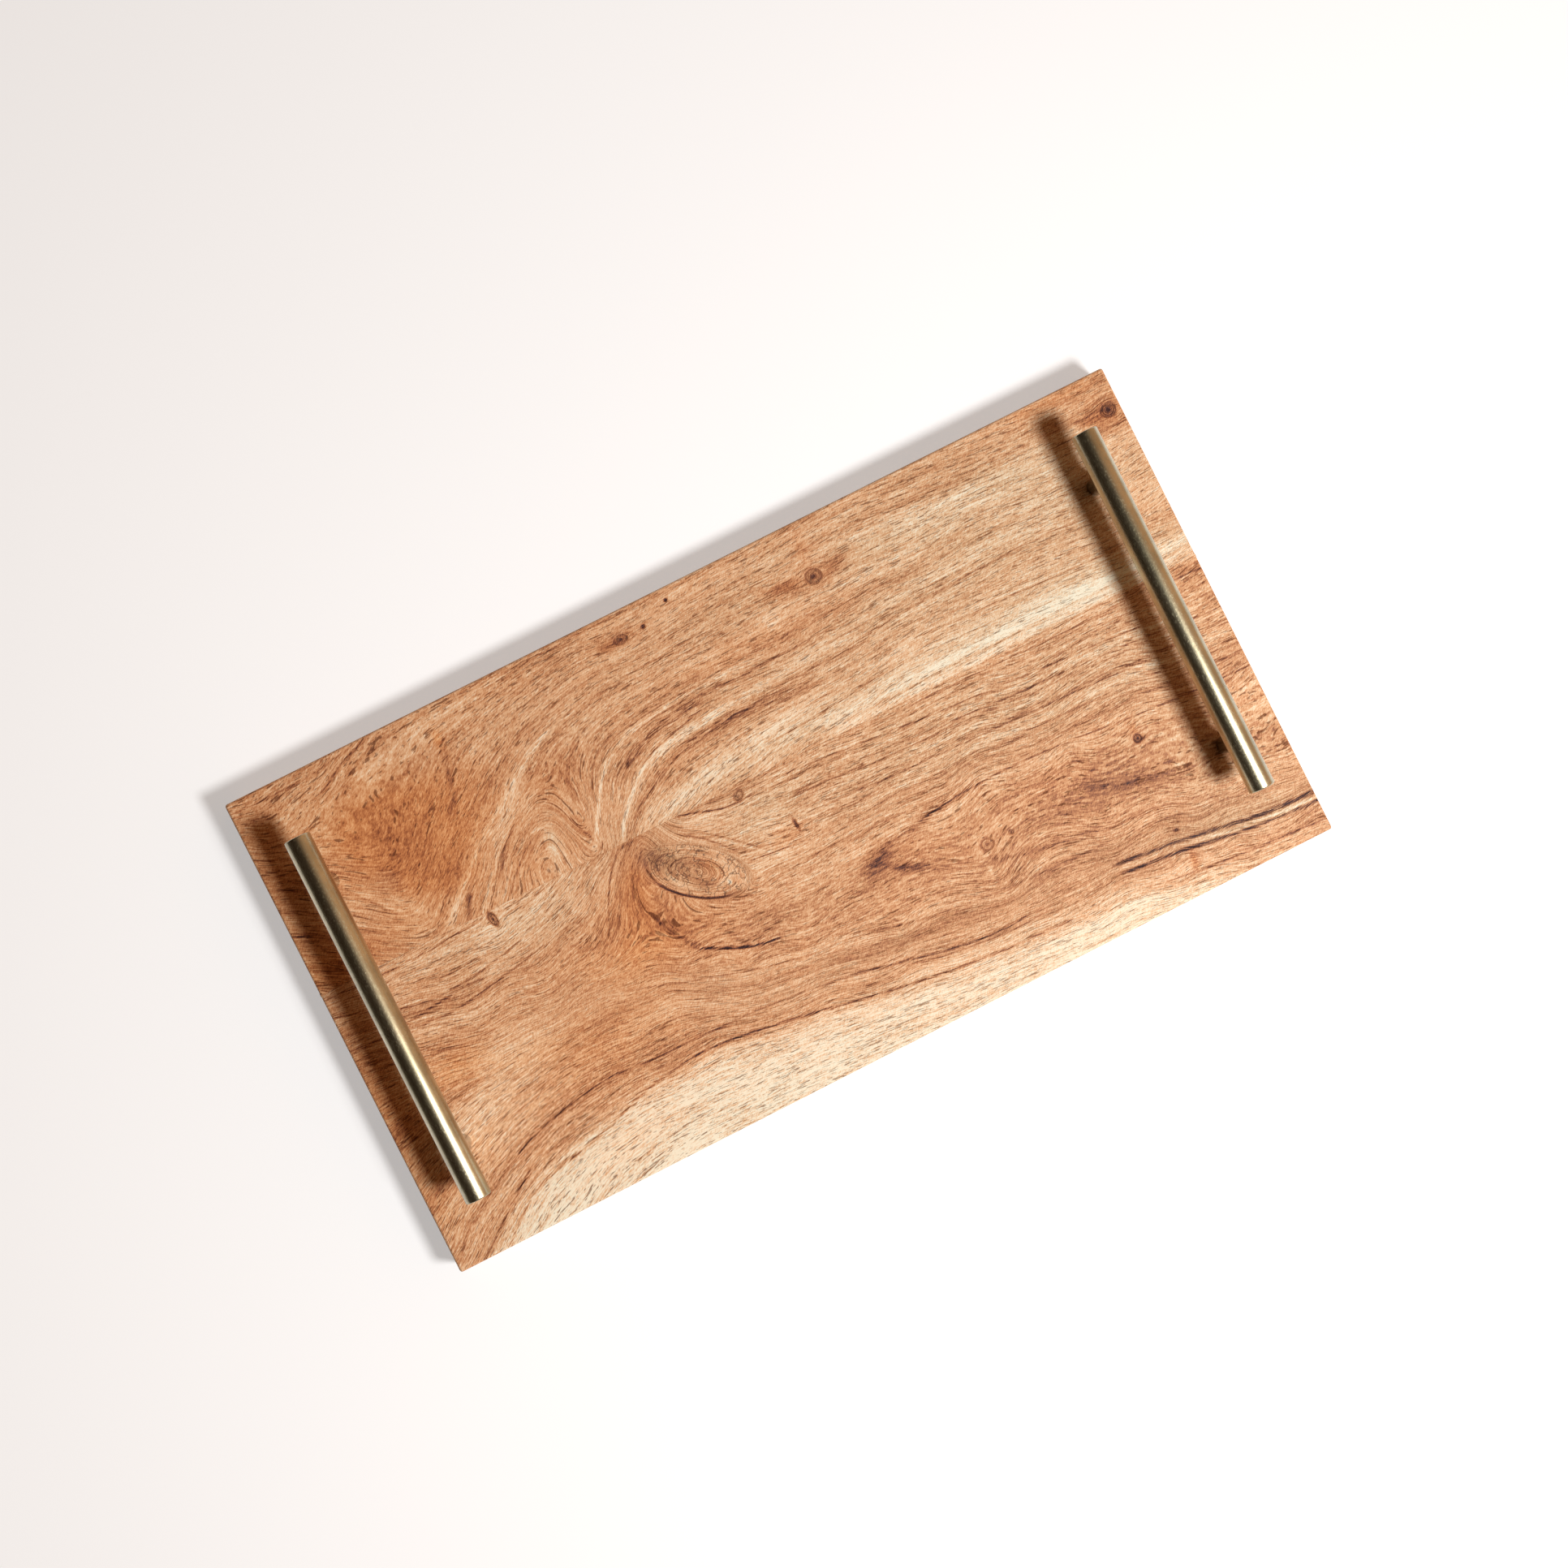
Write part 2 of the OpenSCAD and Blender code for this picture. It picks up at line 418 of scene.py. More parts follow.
# %% Grain lines of the two planks
REAR_GRAIN = {
    3: [(0, 7), (25, 7), (45, 3)],
    8: [(0, 15), (9, 21), (18, 23), (34, 17), (50, 9), (70, 1)],
    14: [(0, 27), (15, 33), (30, 41), (46, 50), (56, 49), (66, 38), (80, 24), (95, 14), (140, 6), (216, 2)],
    20: [
        (0, 41), (15, 48), (30, 56), (46, 66), (56, 69),
        (66, 62), (80, 47), (95, 34), (115, 23), (140, 16),
    ],
    20.1: [(187, 12.5), (250, 8), (350, 8), (432, 10)],
    27: [
        (0, 54), (15, 62), (30, 71), (46, 82), (56, 85),
        (64, 78), (80, 63), (100, 48), (120, 34), (140, 26),
    ],
    27.1: [(190, 20), (245, 16), (300, 14), (432, 17)],
    34: [
        (0, 68), (20, 79), (40, 92), (70, 91), (88, 74),
        (106, 59), (134, 38), (175, 28), (216, 27), (432, 26),
    ],
    40: [(82, 92), (95, 76), (108, 65), (120, 58), (128, 57), (133, 66), (136, 76)],
    42: [(158, 44), (175, 40), (200, 37), (260, 36), (350, 34), (432, 35)],
    45: [(92, 92), (101, 79), (110, 72), (119, 67.5), (126, 70), (130, 80), (133, 91)],
    50: [(143, 92), (146, 80), (151, 69), (160, 58), (175, 52), (195, 49), (250, 49), (320, 45), (432, 44)],
    49: [(102, 92), (109, 80), (117, 74), (122, 74), (124, 81), (124, 91)],
    52: [(113, 85), (111, 93)],
    58: [(148, 91), (156, 78), (168, 66), (182, 60), (216, 57), (283, 56), (353, 53), (432, 54)],
    66: [(152, 93), (163, 82), (176, 74), (190, 69), (216, 66), (283, 64), (353, 62), (432, 63)],
    74: [(166, 93), (180, 86), (195, 81), (250, 74), (313, 70), (353, 72), (403, 75), (432, 76)],
    82: [(190, 93), (216, 88), (250, 83), (290, 79), (330, 79), (380, 81), (432, 82)],
    90: [(240, 93), (270, 90), (310, 87), (350, 87), (432, 88)],
}
FRONT_GRAIN = {
    96: [(0, 96), (30, 97), (60, 96), (85, 93)],
    97: [(172, 93), (186, 96), (200, 98), (230, 97), (300, 98), (432, 100)],
    103: [(190, 103), (205, 103), (240, 103), (320, 107), (400, 111), (432, 112)],
    106: [(0, 101), (30, 105), (55, 109), (80, 110), (100, 106), (118, 99), (128, 93)],
    112: [(200, 112), (215, 114), (240, 115), (320, 120), (400, 125), (432, 126)],
    114: [(0, 108), (25, 112), (50, 117), (80, 117), (105, 113), (125, 105), (140, 95)],
    121: [(202, 124), (220, 126), (250, 127), (290, 128), (340, 131), (432, 135)],
    122: [(0, 116), (25, 119), (45, 123), (75, 124), (105, 121), (122, 115), (134, 105), (146, 94)],
    130: [(194, 137), (215, 137), (250, 135), (300, 134), (350, 137), (432, 142)],
    134: [
        (0, 127), (30, 133), (57, 139), (90, 140), (115, 137),
        (128, 130), (137, 117), (146, 102), (156, 95),
    ],
    137.1: [(150, 103), (145, 110), (143, 122), (145, 132), (150, 140)],
    137: [(200, 145), (230, 145), (264, 143), (300, 140), (342, 142), (380, 144), (432, 148)],
    141: [(160, 149), (185, 152), (220, 153), (260, 151), (300, 149), (350, 152), (400, 156), (432, 159)],
    145: [(165, 155), (190, 159), (220, 161), (260, 161), (300, 161), (350, 164), (400, 170), (432, 173)],
    149: [
        (0, 148), (30, 148), (60, 150), (95, 149), (125, 150),
        (145, 156), (170, 164), (220, 169), (300, 172),
    ],
    149.1: [(350, 177), (400, 184), (432, 188)],
    154: [(200, 173), (240, 177), (300, 181), (350, 186), (400, 193), (432, 196)],
    160: [(0, 172), (20, 166), (45, 160), (110, 155), (140, 159), (200, 176), (240, 184), (290, 190)],
    164: [(340, 193.5), (380, 198), (432, 202)],
    172: [(0, 192), (20, 182), (45, 172), (80, 166), (115, 166), (150, 172), (200, 182), (240, 188.5)],
    172.1: [(290, 195), (340, 197.5), (380, 202), (432, 206)],
    184: [(0, 212), (20, 199), (45, 187), (70, 180), (110, 177), (150, 180), (200, 188), (240, 194.5)],
    184.1: [(290, 200.5), (340, 200.8), (367, 203.5), (392, 207), (432, 210)],
    192: [(0, 224), (15, 212), (40, 199), (70, 189), (110, 184), (150, 185), (200, 193), (240, 199)],
    192.1: [(292, 205.5), (342, 206), (367, 208), (392, 211.3), (432, 214.5)],
    200: [(10, 229), (30, 215), (55, 203), (85, 196), (125, 194), (165, 196), (230, 205), (267, 210)],
    200.1: [(310, 212.5), (361, 217.5), (392, 221), (432, 224)],
    208: [(30, 229), (50, 216), (75, 207), (110, 203), (150, 204), (200, 209), (250, 215), (320, 220)],
    216: [(60, 229), (80, 219), (120, 213), (170, 215), (240, 222), (300, 226), (360, 229)],
}


SHEET_SOFTNESS = 0.01
POINTS_AT_ONCE = 4000


def bent_sheet(lines):
    """The thin-plate surface through labelled lines: a function from places to grain numbers."""
    pins = np.array([point for points in lines.values() for point in points], float)
    labels = np.array([label for label, points in lines.items() for point in points], float)
    softness = SHEET_SOFTNESS * len(pins)

    def stiffness(places):
        distance = np.linalg.norm(places[:, None] - pins[None], axis=2) + 1e-9
        return distance**2 * np.log(distance)

    flat = np.c_[np.ones(len(pins)), pins]
    system = np.block([[stiffness(pins) + softness * np.eye(len(pins)), flat], [flat.T, np.zeros((3, 3))]])
    weights = np.linalg.solve(system, np.r_[labels, np.zeros(3)])

    def height(places):
        parts = np.array_split(places, max(1, len(places) // POINTS_AT_ONCE))
        bent = [stiffness(part) @ weights[:-3] for part in parts]
        level = [np.c_[np.ones(len(part)), part] @ weights[-3:] for part in parts]
        return np.concatenate(bent) + np.concatenate(level)

    return height


rear_grain = bent_sheet(REAR_GRAIN)
front_grain = bent_sheet(FRONT_GRAIN)
print("grain lines:", len(REAR_GRAIN), "in the rear plank,", len(FRONT_GRAIN), "in the front plank")


# %% [markdown]
# ## Knots and patches of tone
#
# A knot is the root of a branch: an oval where the grain runs round and round, darker at its rim and
# heart. The grain of the trunk leans aside to pass it. Broad patches of lighter or redder wood are
# soft ovals too. Both are kept as short lists, in the same millimetres as the grain lines.

# %% Knots and soft patches
# place along, place across, half length, half width, turn in degrees, dark rim, dark heart
REAR_KNOTS = [
    (187, 12.5, 3.4, 2.3, 0, 0.12, 0.7),
    (275.5, 25.5, 3.9, 3.6, 0, 0.14, 0.75),
    (426, 18, 3.6, 3.2, 0, 0.2, 0.8),
    (198.5, 11.8, 0.6, 0.5, 0, 0.6, 0.7),
    (212.5, 5.8, 0.5, 0.5, 0, 0.8, 0.8),
]
FRONT_KNOTS = [
    (171, 118.5, 23.0, 11.3, 36, 0.9, 0.0),
    (82, 97, 3.2, 1.6, 80, 0.5, 0.9),
    (202.5, 97, 2.4, 1.7, -30, 0.35, 0.4),
    (219.5, 119.5, 1.6, 0.45, 85, 0.5, 0.7),
    (291, 165.8, 2.9, 2.7, 0, 0.3, 0.6),
    (303, 165.6, 1.3, 1.0, 30, 0.2, 0.5),
    (372, 154, 1.8, 1.8, 0, 0.4, 0.9),
    (369, 198, 0.8, 0.6, 0, 0.4, 0.6),
]
# place along, place across, half length, half width, turn in degrees, lighter or darker, redder
REAR_PATCHES = [
    (62, 50, 38, 26, 40, -0.16, 0.9),
    (72, 44, 24, 16, 40, -0.1, 0.5),
    (52, 44, 14, 9, 40, -0.05, 0.5),
    (66, 66, 16, 10, 40, -0.12, 0.6),
    (56, 40, 18, 16, 0, -0.06, 0.5),
    (50, 60, 8, 6, 0, -0.14, -0.6),
    (96, 40, 15, 16, -50, -0.06, 0.5),
    (78, 12, 40, 6, -18, 0.16, 0.0),
    (93, 33, 10, 1.2, -76, -0.34, -0.3),
    (88, 45, 6, 1.0, -50, -0.34, -0.3),
    (96, 16, 2.2, 5, 0, -0.04, 1.2),
    (76, 86, 6.5, 1.1, -62, -0.75, -0.8),
    (97, 76, 6, 2, -62, -0.25, -0.6),
    (137, 56, 12, 9, 0, -0.26, 0.1),
    (132, 46, 14, 5, -35, -0.12, 0.1),
    (134, 80, 9, 4, -70, -0.2, 0.2),
    (120, 80, 8, 2.6, -78, 0.26, -0.9),
    (110, 80, 24, 14, -40, -0.1, 0.25),
    (104, 62, 22, 3.2, -44, 0.24, -0.2),
    (72, 84, 10, 2.0, -45, 0.2, -0.2),
    (50, 72, 9, 1.4, 50, 0.16, -0.2),
    (38, 60, 10, 1.4, 52, 0.1, 0.0),
    (32, 82, 14, 8, 0, -0.12, 0.3),
    (190, 8, 60, 6, 0, -0.05, 0.1),
    (257, 24, 9, 3.2, 8, -0.3, 0.35),
    (275, 24, 13, 7.5, 0, -0.18, 0.5),
    (263, 24.5, 6, 2.6, 10, -0.4, 0.5),
    (286, 25.5, 8, 2.6, -14, -0.45, 0.4),
    (276, 12, 3, 8, 0, -0.12, 0.5),
    (181, 13, 6, 1.9, 4, -0.5, 0.4),
    (190, 12.6, 8, 3, 0, -0.12, 0.3),
    (250, 40, 50, 8, 0, -0.08, 0.5),
    (340, 42, 120, 40, 0, 0.14, -0.75),
    (350, 87, 105, 6.0, 0, 0.26, -0.35),
    (236, 82, 30, 8, -8, 0.12, -0.3),
    (350, 24, 70, 7, 0, 0.1, -0.3),
    (185, 86, 34, 7, -10, 0.3, -0.3),
    (300, 82, 70, 8, -4, 0.14, -0.3),
    (400, 82, 60, 8, 0, 0.16, -0.5),
    (8, 60, 12, 60, 0, -0.12, 0.7),
    (14, 86, 18, 8, 0, -0.1, 0.8),
    (424, 20, 12, 9, 0, -0.34, 0.8),
    (417, 19, 6, 2.2, 10, -0.3, 0.5),
    (405, 3, 30, 4, 0, -0.14, 0.7),
]
FRONT_PATCHES = [
    (95, 107, 36, 10, -8, 0.2, -0.3),
    (60, 100, 40, 5, 0, 0.12, -0.2),
    (50, 121, 24, 3.5, 8, -0.12, 0.0),
    (145, 112, 8, 20, 25, -0.22, 0.9),
    (142, 128, 22, 18, 0, -0.12, 0.5),
    (157, 105, 8, 5, 36, -0.3, -1.1),
    (168, 115, 19, 8, 36, -0.13, -0.35),
    (162, 110, 9, 6, 36, -0.1, -0.4),
    (172, 126, 4.5, 2.0, 20, -0.35, -0.4),
    (181, 124, 9, 4, 40, 0.14, 0.5),
    (176, 117, 6, 3, 50, -0.15, 0.7),
    (162, 120, 9, 2.2, 48, 0.2, -0.2),
    (182, 129.5, 0.7, 1.5, -10, 0.6, -0.6),
    (178, 146, 24, 9, 25, -0.14, 0.0),
    (205, 153, 30, 11, 8, -0.14, -0.2),
    (244, 151, 10, 5, -35, -0.36, 0.0),
    (256, 155, 16, 9, 10, -0.18, 0.1),
    (352, 166, 38, 8.5, 6, -0.2, -0.1),
    (330, 170, 80, 22, 6, -0.12, -0.1),
    (368, 170, 24, 4, 15, -0.08, 0.0),
    (325, 152, 30, 9, 0, -0.05, 0.1),
    (372, 150, 2.0, 5, 0, -0.1, 0.8),
    (291, 165.5, 9, 7, 0, 0.14, 0.1),
    (287, 176.5, 1.5, 0.8, -10, 0.5, -0.6),
    (60, 156, 26, 16, 0, 0.2, 0.1),
    (36, 176, 22, 10, -20, 0.22, -0.1),
    (38, 148, 16, 9, 0, -0.08, 0.8),
    (30, 190, 20, 8, -30, 0.0, 0.2),
    (5, 150, 9, 50, 0, -0.14, 0.9),
    (100, 165, 34, 14, 0, -0.1, 0.5),
    (100, 180, 50, 8, 0, -0.1, 0.2),
    (140, 140, 40, 14, 10, -0.02, 0.5),
    (320, 114, 130, 24, 3, 0.02, -0.6),
    (208, 112, 16, 12, 10, 0.22, -0.3),
    (205, 134, 20, 5, 10, 0.16, 0.0),
    (215, 121, 10, 6, 0, -0.06, 0.6),
    (58, 222, 26, 12, -25, 0.1, -0.2),
    (170, 226, 60, 10, 0, 0.08, -0.2),
    (90, 212, 30, 8, -12, 0.0, 0.6),
    (290, 208, 70, 3.5, 5, 0.2, -0.2),
    (395, 206, 40, 7, 6, -0.06, -0.9),
    (415, 212, 30, 1.5, 6, 0.15, -0.6),
    (370.5, 213, 1.6, 5, 14, -0.3, 1.2),
    (300, 190, 90, 7, 5, -0.12, -0.2),
    (410, 180, 30, 20, 0, 0.0, -0.4),
]
# place along, place across, half length, half width, turn in degrees, how much of the pores it hides
CLOSE_PATCHES = [
    (62, 52, 40, 34, 30, 0.9),
    (130, 70, 26, 24, 0, 0.7),
    (150, 118, 22, 26, 0, 0.8),
    (175, 118, 24, 12, 36, 0.4),
    (120, 150, 60, 18, 0, 0.75),
    (225, 152, 60, 14, 6, 0.8),
    (300, 162, 80, 18, 6, 0.7),
]


def oval_distance(places, along, across, half_length, half_width, turn):
    """Distance from an oval's middle, counted as 1 at its rim."""
    angle = math.radians(turn)
    aside = places - (along, across)
    lengthwise = aside @ (math.cos(angle), math.sin(angle))
    crosswise = aside @ (-math.sin(angle), math.cos(angle))
    return np.hypot(lengthwise / half_length, crosswise / half_width)


def soft_step(value, start, end):
    share = np.clip((value - start) / (end - start), 0, 1)
    return share * share * (3 - 2 * share)


# %% [markdown]
# The board is cut a little aslant to the tree's rings, so a line seen on top comes out further forward
# on the underside. That lean also draws the ring lines down the four side faces.

# %% The wood at any point of a plank
RING_LEAN = 0.35
SMALL_KNOT_RINGS = 2.6
BIG_KNOT_RINGS = 1.2
BIG_KNOT = 10
DARK_SIDE = (-0.55, 0.84)
SAPWOOD_TONE = 0.46
SAPWOOD_COOLNESS = 0.45


def wood_fields(points, grain_surface, knots, patches, sapwood, lean_along):
    """Grain number, distance along the grain, tone, warmth and knots at points given in metres."""
    depth = (board_top - points[:, 2]) / MM
    along = (points[:, 0] - board_low.x) / MM
    across = (board_high.y - points[:, 1]) / MM
    places = np.c_[along, across - RING_LEAN * depth]
    grain = grain_surface(places)
    nearest = np.full(len(points), 9.0)
    edge = np.full(len(points), 9.0)
    rim = np.zeros(len(points))
    heart_darkness = np.zeros(len(points))
    for *oval, dark_rim, dark_heart in knots:
        distance = oval_distance(places, *oval)
        heart = grain_surface(np.array([oval[:2]], float))[0]
        if oval[2] < BIG_KNOT:
            grain += (heart - grain) * np.exp(-((distance / 1.5) ** 2)) * 0.6
        density = SMALL_KNOT_RINGS if oval[2] < BIG_KNOT else BIG_KNOT_RINGS
        rings = heart + density * oval[3] * distance
        grain += (rings - grain) * soft_step(distance, 1.12, 0.9)
        aside = places - oval[:2]
        facing = aside @ DARK_SIDE / (np.linalg.norm(aside, axis=1) + 0.01)
        closer = distance < nearest
        nearest[closer] = distance[closer]
        edge[closer] = (distance[closer] - 1) * oval[3]
        one_sided = np.ones(len(points))
        if oval[2] > BIG_KNOT:
            one_sided = 0.08 + 0.92 * soft_step(facing, 0.15, 0.75)
        rim[closer] = dark_rim * one_sided[closer]
        heart_darkness[closer] = dark_heart
    close = np.zeros(len(points))
    for *oval, hidden in CLOSE_PATCHES:
        close = np.maximum(close, hidden * np.exp(-(oval_distance(places, *oval) ** 2)))
    sap = soft_step(grain, sapwood - 5, sapwood + 6) * soft_step(along, 470, 300)
    tone = SAPWOOD_TONE * sap
    warmth = -SAPWOOD_COOLNESS * sap
    for *oval, lighter, redder in patches:
        share = np.exp(-(oval_distance(places, *oval) ** 2))
        tone += lighter * share
        warmth += redder * share
    return {
        "grain": grain,
        "along": along - lean_along * places[:, 1],
        "board_along": along,
        "board_across": places[:, 1],
        "tone": tone,
        "warmth": warmth,
        "openness": 1 - close,
        "knot_distance": nearest,
        "knot_edge": edge,
        "knot_rim": rim,
        "knot_heart": heart_darkness,
    }


# %% [markdown]
# ## The planks
#
# A plank starts as a fine grid, is extruded to its thickness, and has its outer edges bevelled round
# as sandpaper leaves them. The glued edge stays square but for a hair's bevel, which draws the seam.
# Stepped cutters bore the screw holes and their counterbores from below. The faces around the knots are
# divided finer, so that the rims, rings and hearts of the knots can be sunk into the surface itself.

# %% Model a plank
GRID_CELL = 1.25 * MM
WALL_STEPS = 4
EDGE_RADIUS = 1.2 * MM
EDGE_STEPS = 5
SEAM_BEVEL = 0.12 * MM
COUNTERBORE_GAP = 1.0 * MM
SCREW_GAP = 0.25 * MM
THREAD_RADIUS = 2.0 * MM
HOLE_SIDES = 64
TOUCH = 0.01 * MM


def stepped_cutter(corner):
    """The shape that a counterbore and its screw hole take out of the board."""
    low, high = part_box(f"{corner}_washer")
    centre = (low + high) / 2
    radius = (high.x - low.x) / 2 + COUNTERBORE_GAP
    start = board_low.z - 1 * MM
    seat = high.z
    bpy.ops.object.select_all(action="DESELECT")
    bpy.ops.mesh.primitive_cylinder_add(
        vertices=HOLE_SIDES, radius=radius, depth=seat - start,
        location=(centre.x, centre.y, (seat + start) / 2),
    )
    cutter = start_piece("cutter")
    shape = edit(cutter)
    pick(cutter, shape, shape.faces, lambda face: face.normal.z > 0.9)
    bpy.ops.mesh.inset(thickness=radius - THREAD_RADIUS - SCREW_GAP, use_even_offset=False)
    bpy.ops.mesh.extrude_region_move(TRANSFORM_OT_translate={"value": (0, 0, board_top + 1 * MM - seat)})
    finish_edit()
    return cutter


def on(value, target):
    return abs(value - target) < TOUCH


def model_plank(name, corners, outer_y, seam_y):
    low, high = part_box(name)
    size = high - low
    bpy.ops.object.select_all(action="DESELECT")
    bpy.ops.mesh.primitive_grid_add(
        x_subdivisions=round(size.x / GRID_CELL), y_subdivisions=round(size.y / GRID_CELL), size=1,
        location=((low.x + high.x) / 2, (low.y + high.y) / 2, low.z),
    )
    bpy.context.object.scale = (size.x, size.y, 1)
    plank = start_piece(f"{name}_wood")
    edit(plank)
    bpy.ops.mesh.select_all(action="SELECT")
    for _ in range(WALL_STEPS):
        bpy.ops.mesh.extrude_region_move(TRANSFORM_OT_translate={"value": (0, 0, size.z / WALL_STEPS)})
    bpy.ops.mesh.select_all(action="SELECT")
    bpy.ops.mesh.normals_make_consistent(inside=False)
    finish_edit()

    def outer_planes(edge):
        """On how many of the board's outer planes both ends of an edge lie."""
        first, second = (vertex.co for vertex in edge.verts)
        return sum((
            on(first.x, second.x) and (on(first.x, low.x) or on(first.x, high.x)),
            on(first.y, second.y) and on(first.y, outer_y),
            on(first.z, second.z) and (on(first.z, low.z) or on(first.z, high.z)),
        ))

    def on_seam(edge):
        first, second = (vertex.co for vertex in edge.verts)
        flat = on(first.z, second.z) and (on(first.z, low.z) or on(first.z, high.z))
        return flat and on(first.y, seam_y) and on(second.y, seam_y)

    shape = edit(plank, "EDGE")
    count = pick(plank, shape, shape.edges, on_seam)
    bpy.ops.mesh.bevel(offset=SEAM_BEVEL, segments=1, affect="EDGES")
    finish_edit()
    shape = edit(plank, "EDGE")
    count += pick(plank, shape, shape.edges, lambda edge: outer_planes(edge) >= 2)
    bpy.ops.mesh.bevel(offset=EDGE_RADIUS, segments=EDGE_STEPS, profile=0.5, affect="EDGES")
    finish_edit()
    for corner in corners:
        cut(plank, stepped_cutter(corner))
    print(name, "edges rounded:", count, "faces:", len(plank.data.polygons))
    return plank


seam_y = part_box("rear_plank")[0].y
rear_plank = model_plank("rear_plank", ["left_rear", "right_rear"], board_high.y, seam_y)
front_plank = model_plank("front_plank", ["left_front", "right_front"], board_low.y, seam_y)


# %% [markdown]
# A knot is harder than the wood around it and shrinks differently, so it sits a hair low and splits.
# The faces over each knot are divided until they are fine enough. A vertex group, the same thing as
# painted weights, says how far each point sinks, and a Displace modifier pushes them down.

# %% Divide and sink the knots
KNOT_SINK = 0.35 * MM


def top_faces_near(plank, shape, oval, reach):
    def near(face):
        if face.normal.z < 0.9 or face.calc_center_median().z < board_top - TOUCH:
            return False
        centre = face.calc_center_median()
        place = np.array([[(centre.x - board_low.x) / MM, (board_high.y - centre.y) / MM]])
        return oval_distance(place, *oval)[0] < reach
    return pick(plank, shape, shape.faces, near)


def sink_knots(plank, grain_surface, knots, patches, sapwood, lean):
    for *oval, _, _ in knots:
        cuts = 2 if oval[2] > BIG_KNOT else 4
        reach = 1.3 if oval[2] > BIG_KNOT else 1.3 + 1.5 / oval[3]
        shape = edit(plank)
        top_faces_near(plank, shape, oval, reach)
        bpy.ops.mesh.subdivide(number_cuts=cuts)
        finish_edit()
    points = mesh_points(plank)
    fields = wood_fields(points, grain_surface, knots, patches, sapwood, lean)
    distance = fields["knot_distance"]
    inside = soft_step(distance, 1.12, 0.9)
    rings = 0.5 + 0.5 * np.cos(2 * math.pi * distance * 3.2)
    heart = soft_step(distance, 0.3, 0.0)
    darkness = np.maximum(fields["knot_rim"], fields["knot_heart"])
    depth = inside * np.clip(0.15 + 0.3 * rings + 0.55 * heart * darkness, 0, 1)
    depth += 0.5 * fields["knot_rim"] * np.exp(-((fields["knot_edge"] / 0.5) ** 2))
    depth[points[:, 2] < board_top - TOUCH] = 0
    sunken = plank.vertex_groups.new(name="sunken")
    for index in np.nonzero(depth > 0.01)[0]:
        sunken.add([int(index)], float(depth[index]), "REPLACE")
    only(plank)
    bpy.ops.object.modifier_add(type="DISPLACE")
    sink = plank.modifiers[-1]
    sink.direction = "Z"
    sink.mid_level = 0
    sink.strength = -KNOT_SINK
    sink.vertex_group = sunken.name
    bpy.ops.object.modifier_apply(modifier=sink.name)
    plank.vertex_groups.clear()
    print(plank.name, "points sunk:", int((depth > 0.01).sum()))


def mesh_points(piece):
    flat = np.empty(len(piece.data.vertices) * 3)
    piece.data.vertices.foreach_get("co", flat)
    return flat.reshape(-1, 3)


def store_fields(plank, grain_surface, knots, patches, sapwood, lean):
    """Keeps the wood's numbers on the mesh's points, where the material reads them by name."""
    fields = wood_fields(mesh_points(plank), grain_surface, knots, patches, sapwood, lean)
    for name, values in fields.items():
        layer = plank.data.attributes.new(name, "FLOAT", "POINT")
        layer.data.foreach_set("value", values.astype(np.float32))


REAR_LEAN = 0.5
FRONT_LEAN = 0.3
NO_SAPWOOD = 999
FRONT_SAPWOOD = 203
REAR_WOOD = (rear_grain, REAR_KNOTS, REAR_PATCHES, NO_SAPWOOD, REAR_LEAN)
FRONT_WOOD = (front_grain, FRONT_KNOTS, FRONT_PATCHES, FRONT_SAPWOOD, FRONT_LEAN)
for plank, wood in ((rear_plank, REAR_WOOD), (front_plank, FRONT_WOOD)):
    sink_knots(plank, *wood)
    store_fields(plank, *wood)
    only(plank)
    bpy.ops.object.shade_smooth_by_angle(angle=math.radians(40))
    print(plank.name, "faces:", len(plank.data.polygons))


# %% [markdown]
# ## The look of oiled acacia
#
# The figure is built from a few layers, all stretched along the grain: broad bands, growth lines, fine
# fibres, and pores, which are short dark dashes on the face and dots on the end grain. The layers are
# noise whose first coordinate runs along the grain and whose second is the grain number, so they bend
# wherever the drawn grain bends. A tone value goes through a ramp from dark heartwood to cream sapwood.

# %% Shared wood groups
BAND_WEIGHT = 0.6
LINE_WEIGHT = 0.62
THREAD_WEIGHT = 0.95
FIBRE_WEIGHT = 1.35

streak_group, streak_in, streak_out = new_group(
    "Wood streak",
    {
        "Along": "value", "Across": "value", "Gaps": "value",
        "Cubic": "value", "Square": "value", "Slope": "value", "Level": "value",
        "Start": "value", "End": "value", "Width": "value", "Strength": "value",
    },
    {"Tone": "value"},
)
step = streak_in["Along"] - streak_in["Start"]
route = (step * streak_in["Cubic"] + streak_in["Square"]) * step + streak_in["Slope"]
route = route * step + streak_in["Level"]
streak_line = bell(streak_in["Across"], route, streak_in["Width"])
fade_in = ramp_between(streak_in["Along"], streak_in["Start"] - 4.0, streak_in["Start"] + 4.0)
fade_out = ramp_between(streak_in["Along"], streak_in["End"] + 4.0, streak_in["End"] - 4.0)
streak_tone = streak_line * fade_in * fade_out * streak_in["Strength"] * streak_in["Gaps"]
feed(streak_group, streak_out.inputs["Tone"], streak_tone)

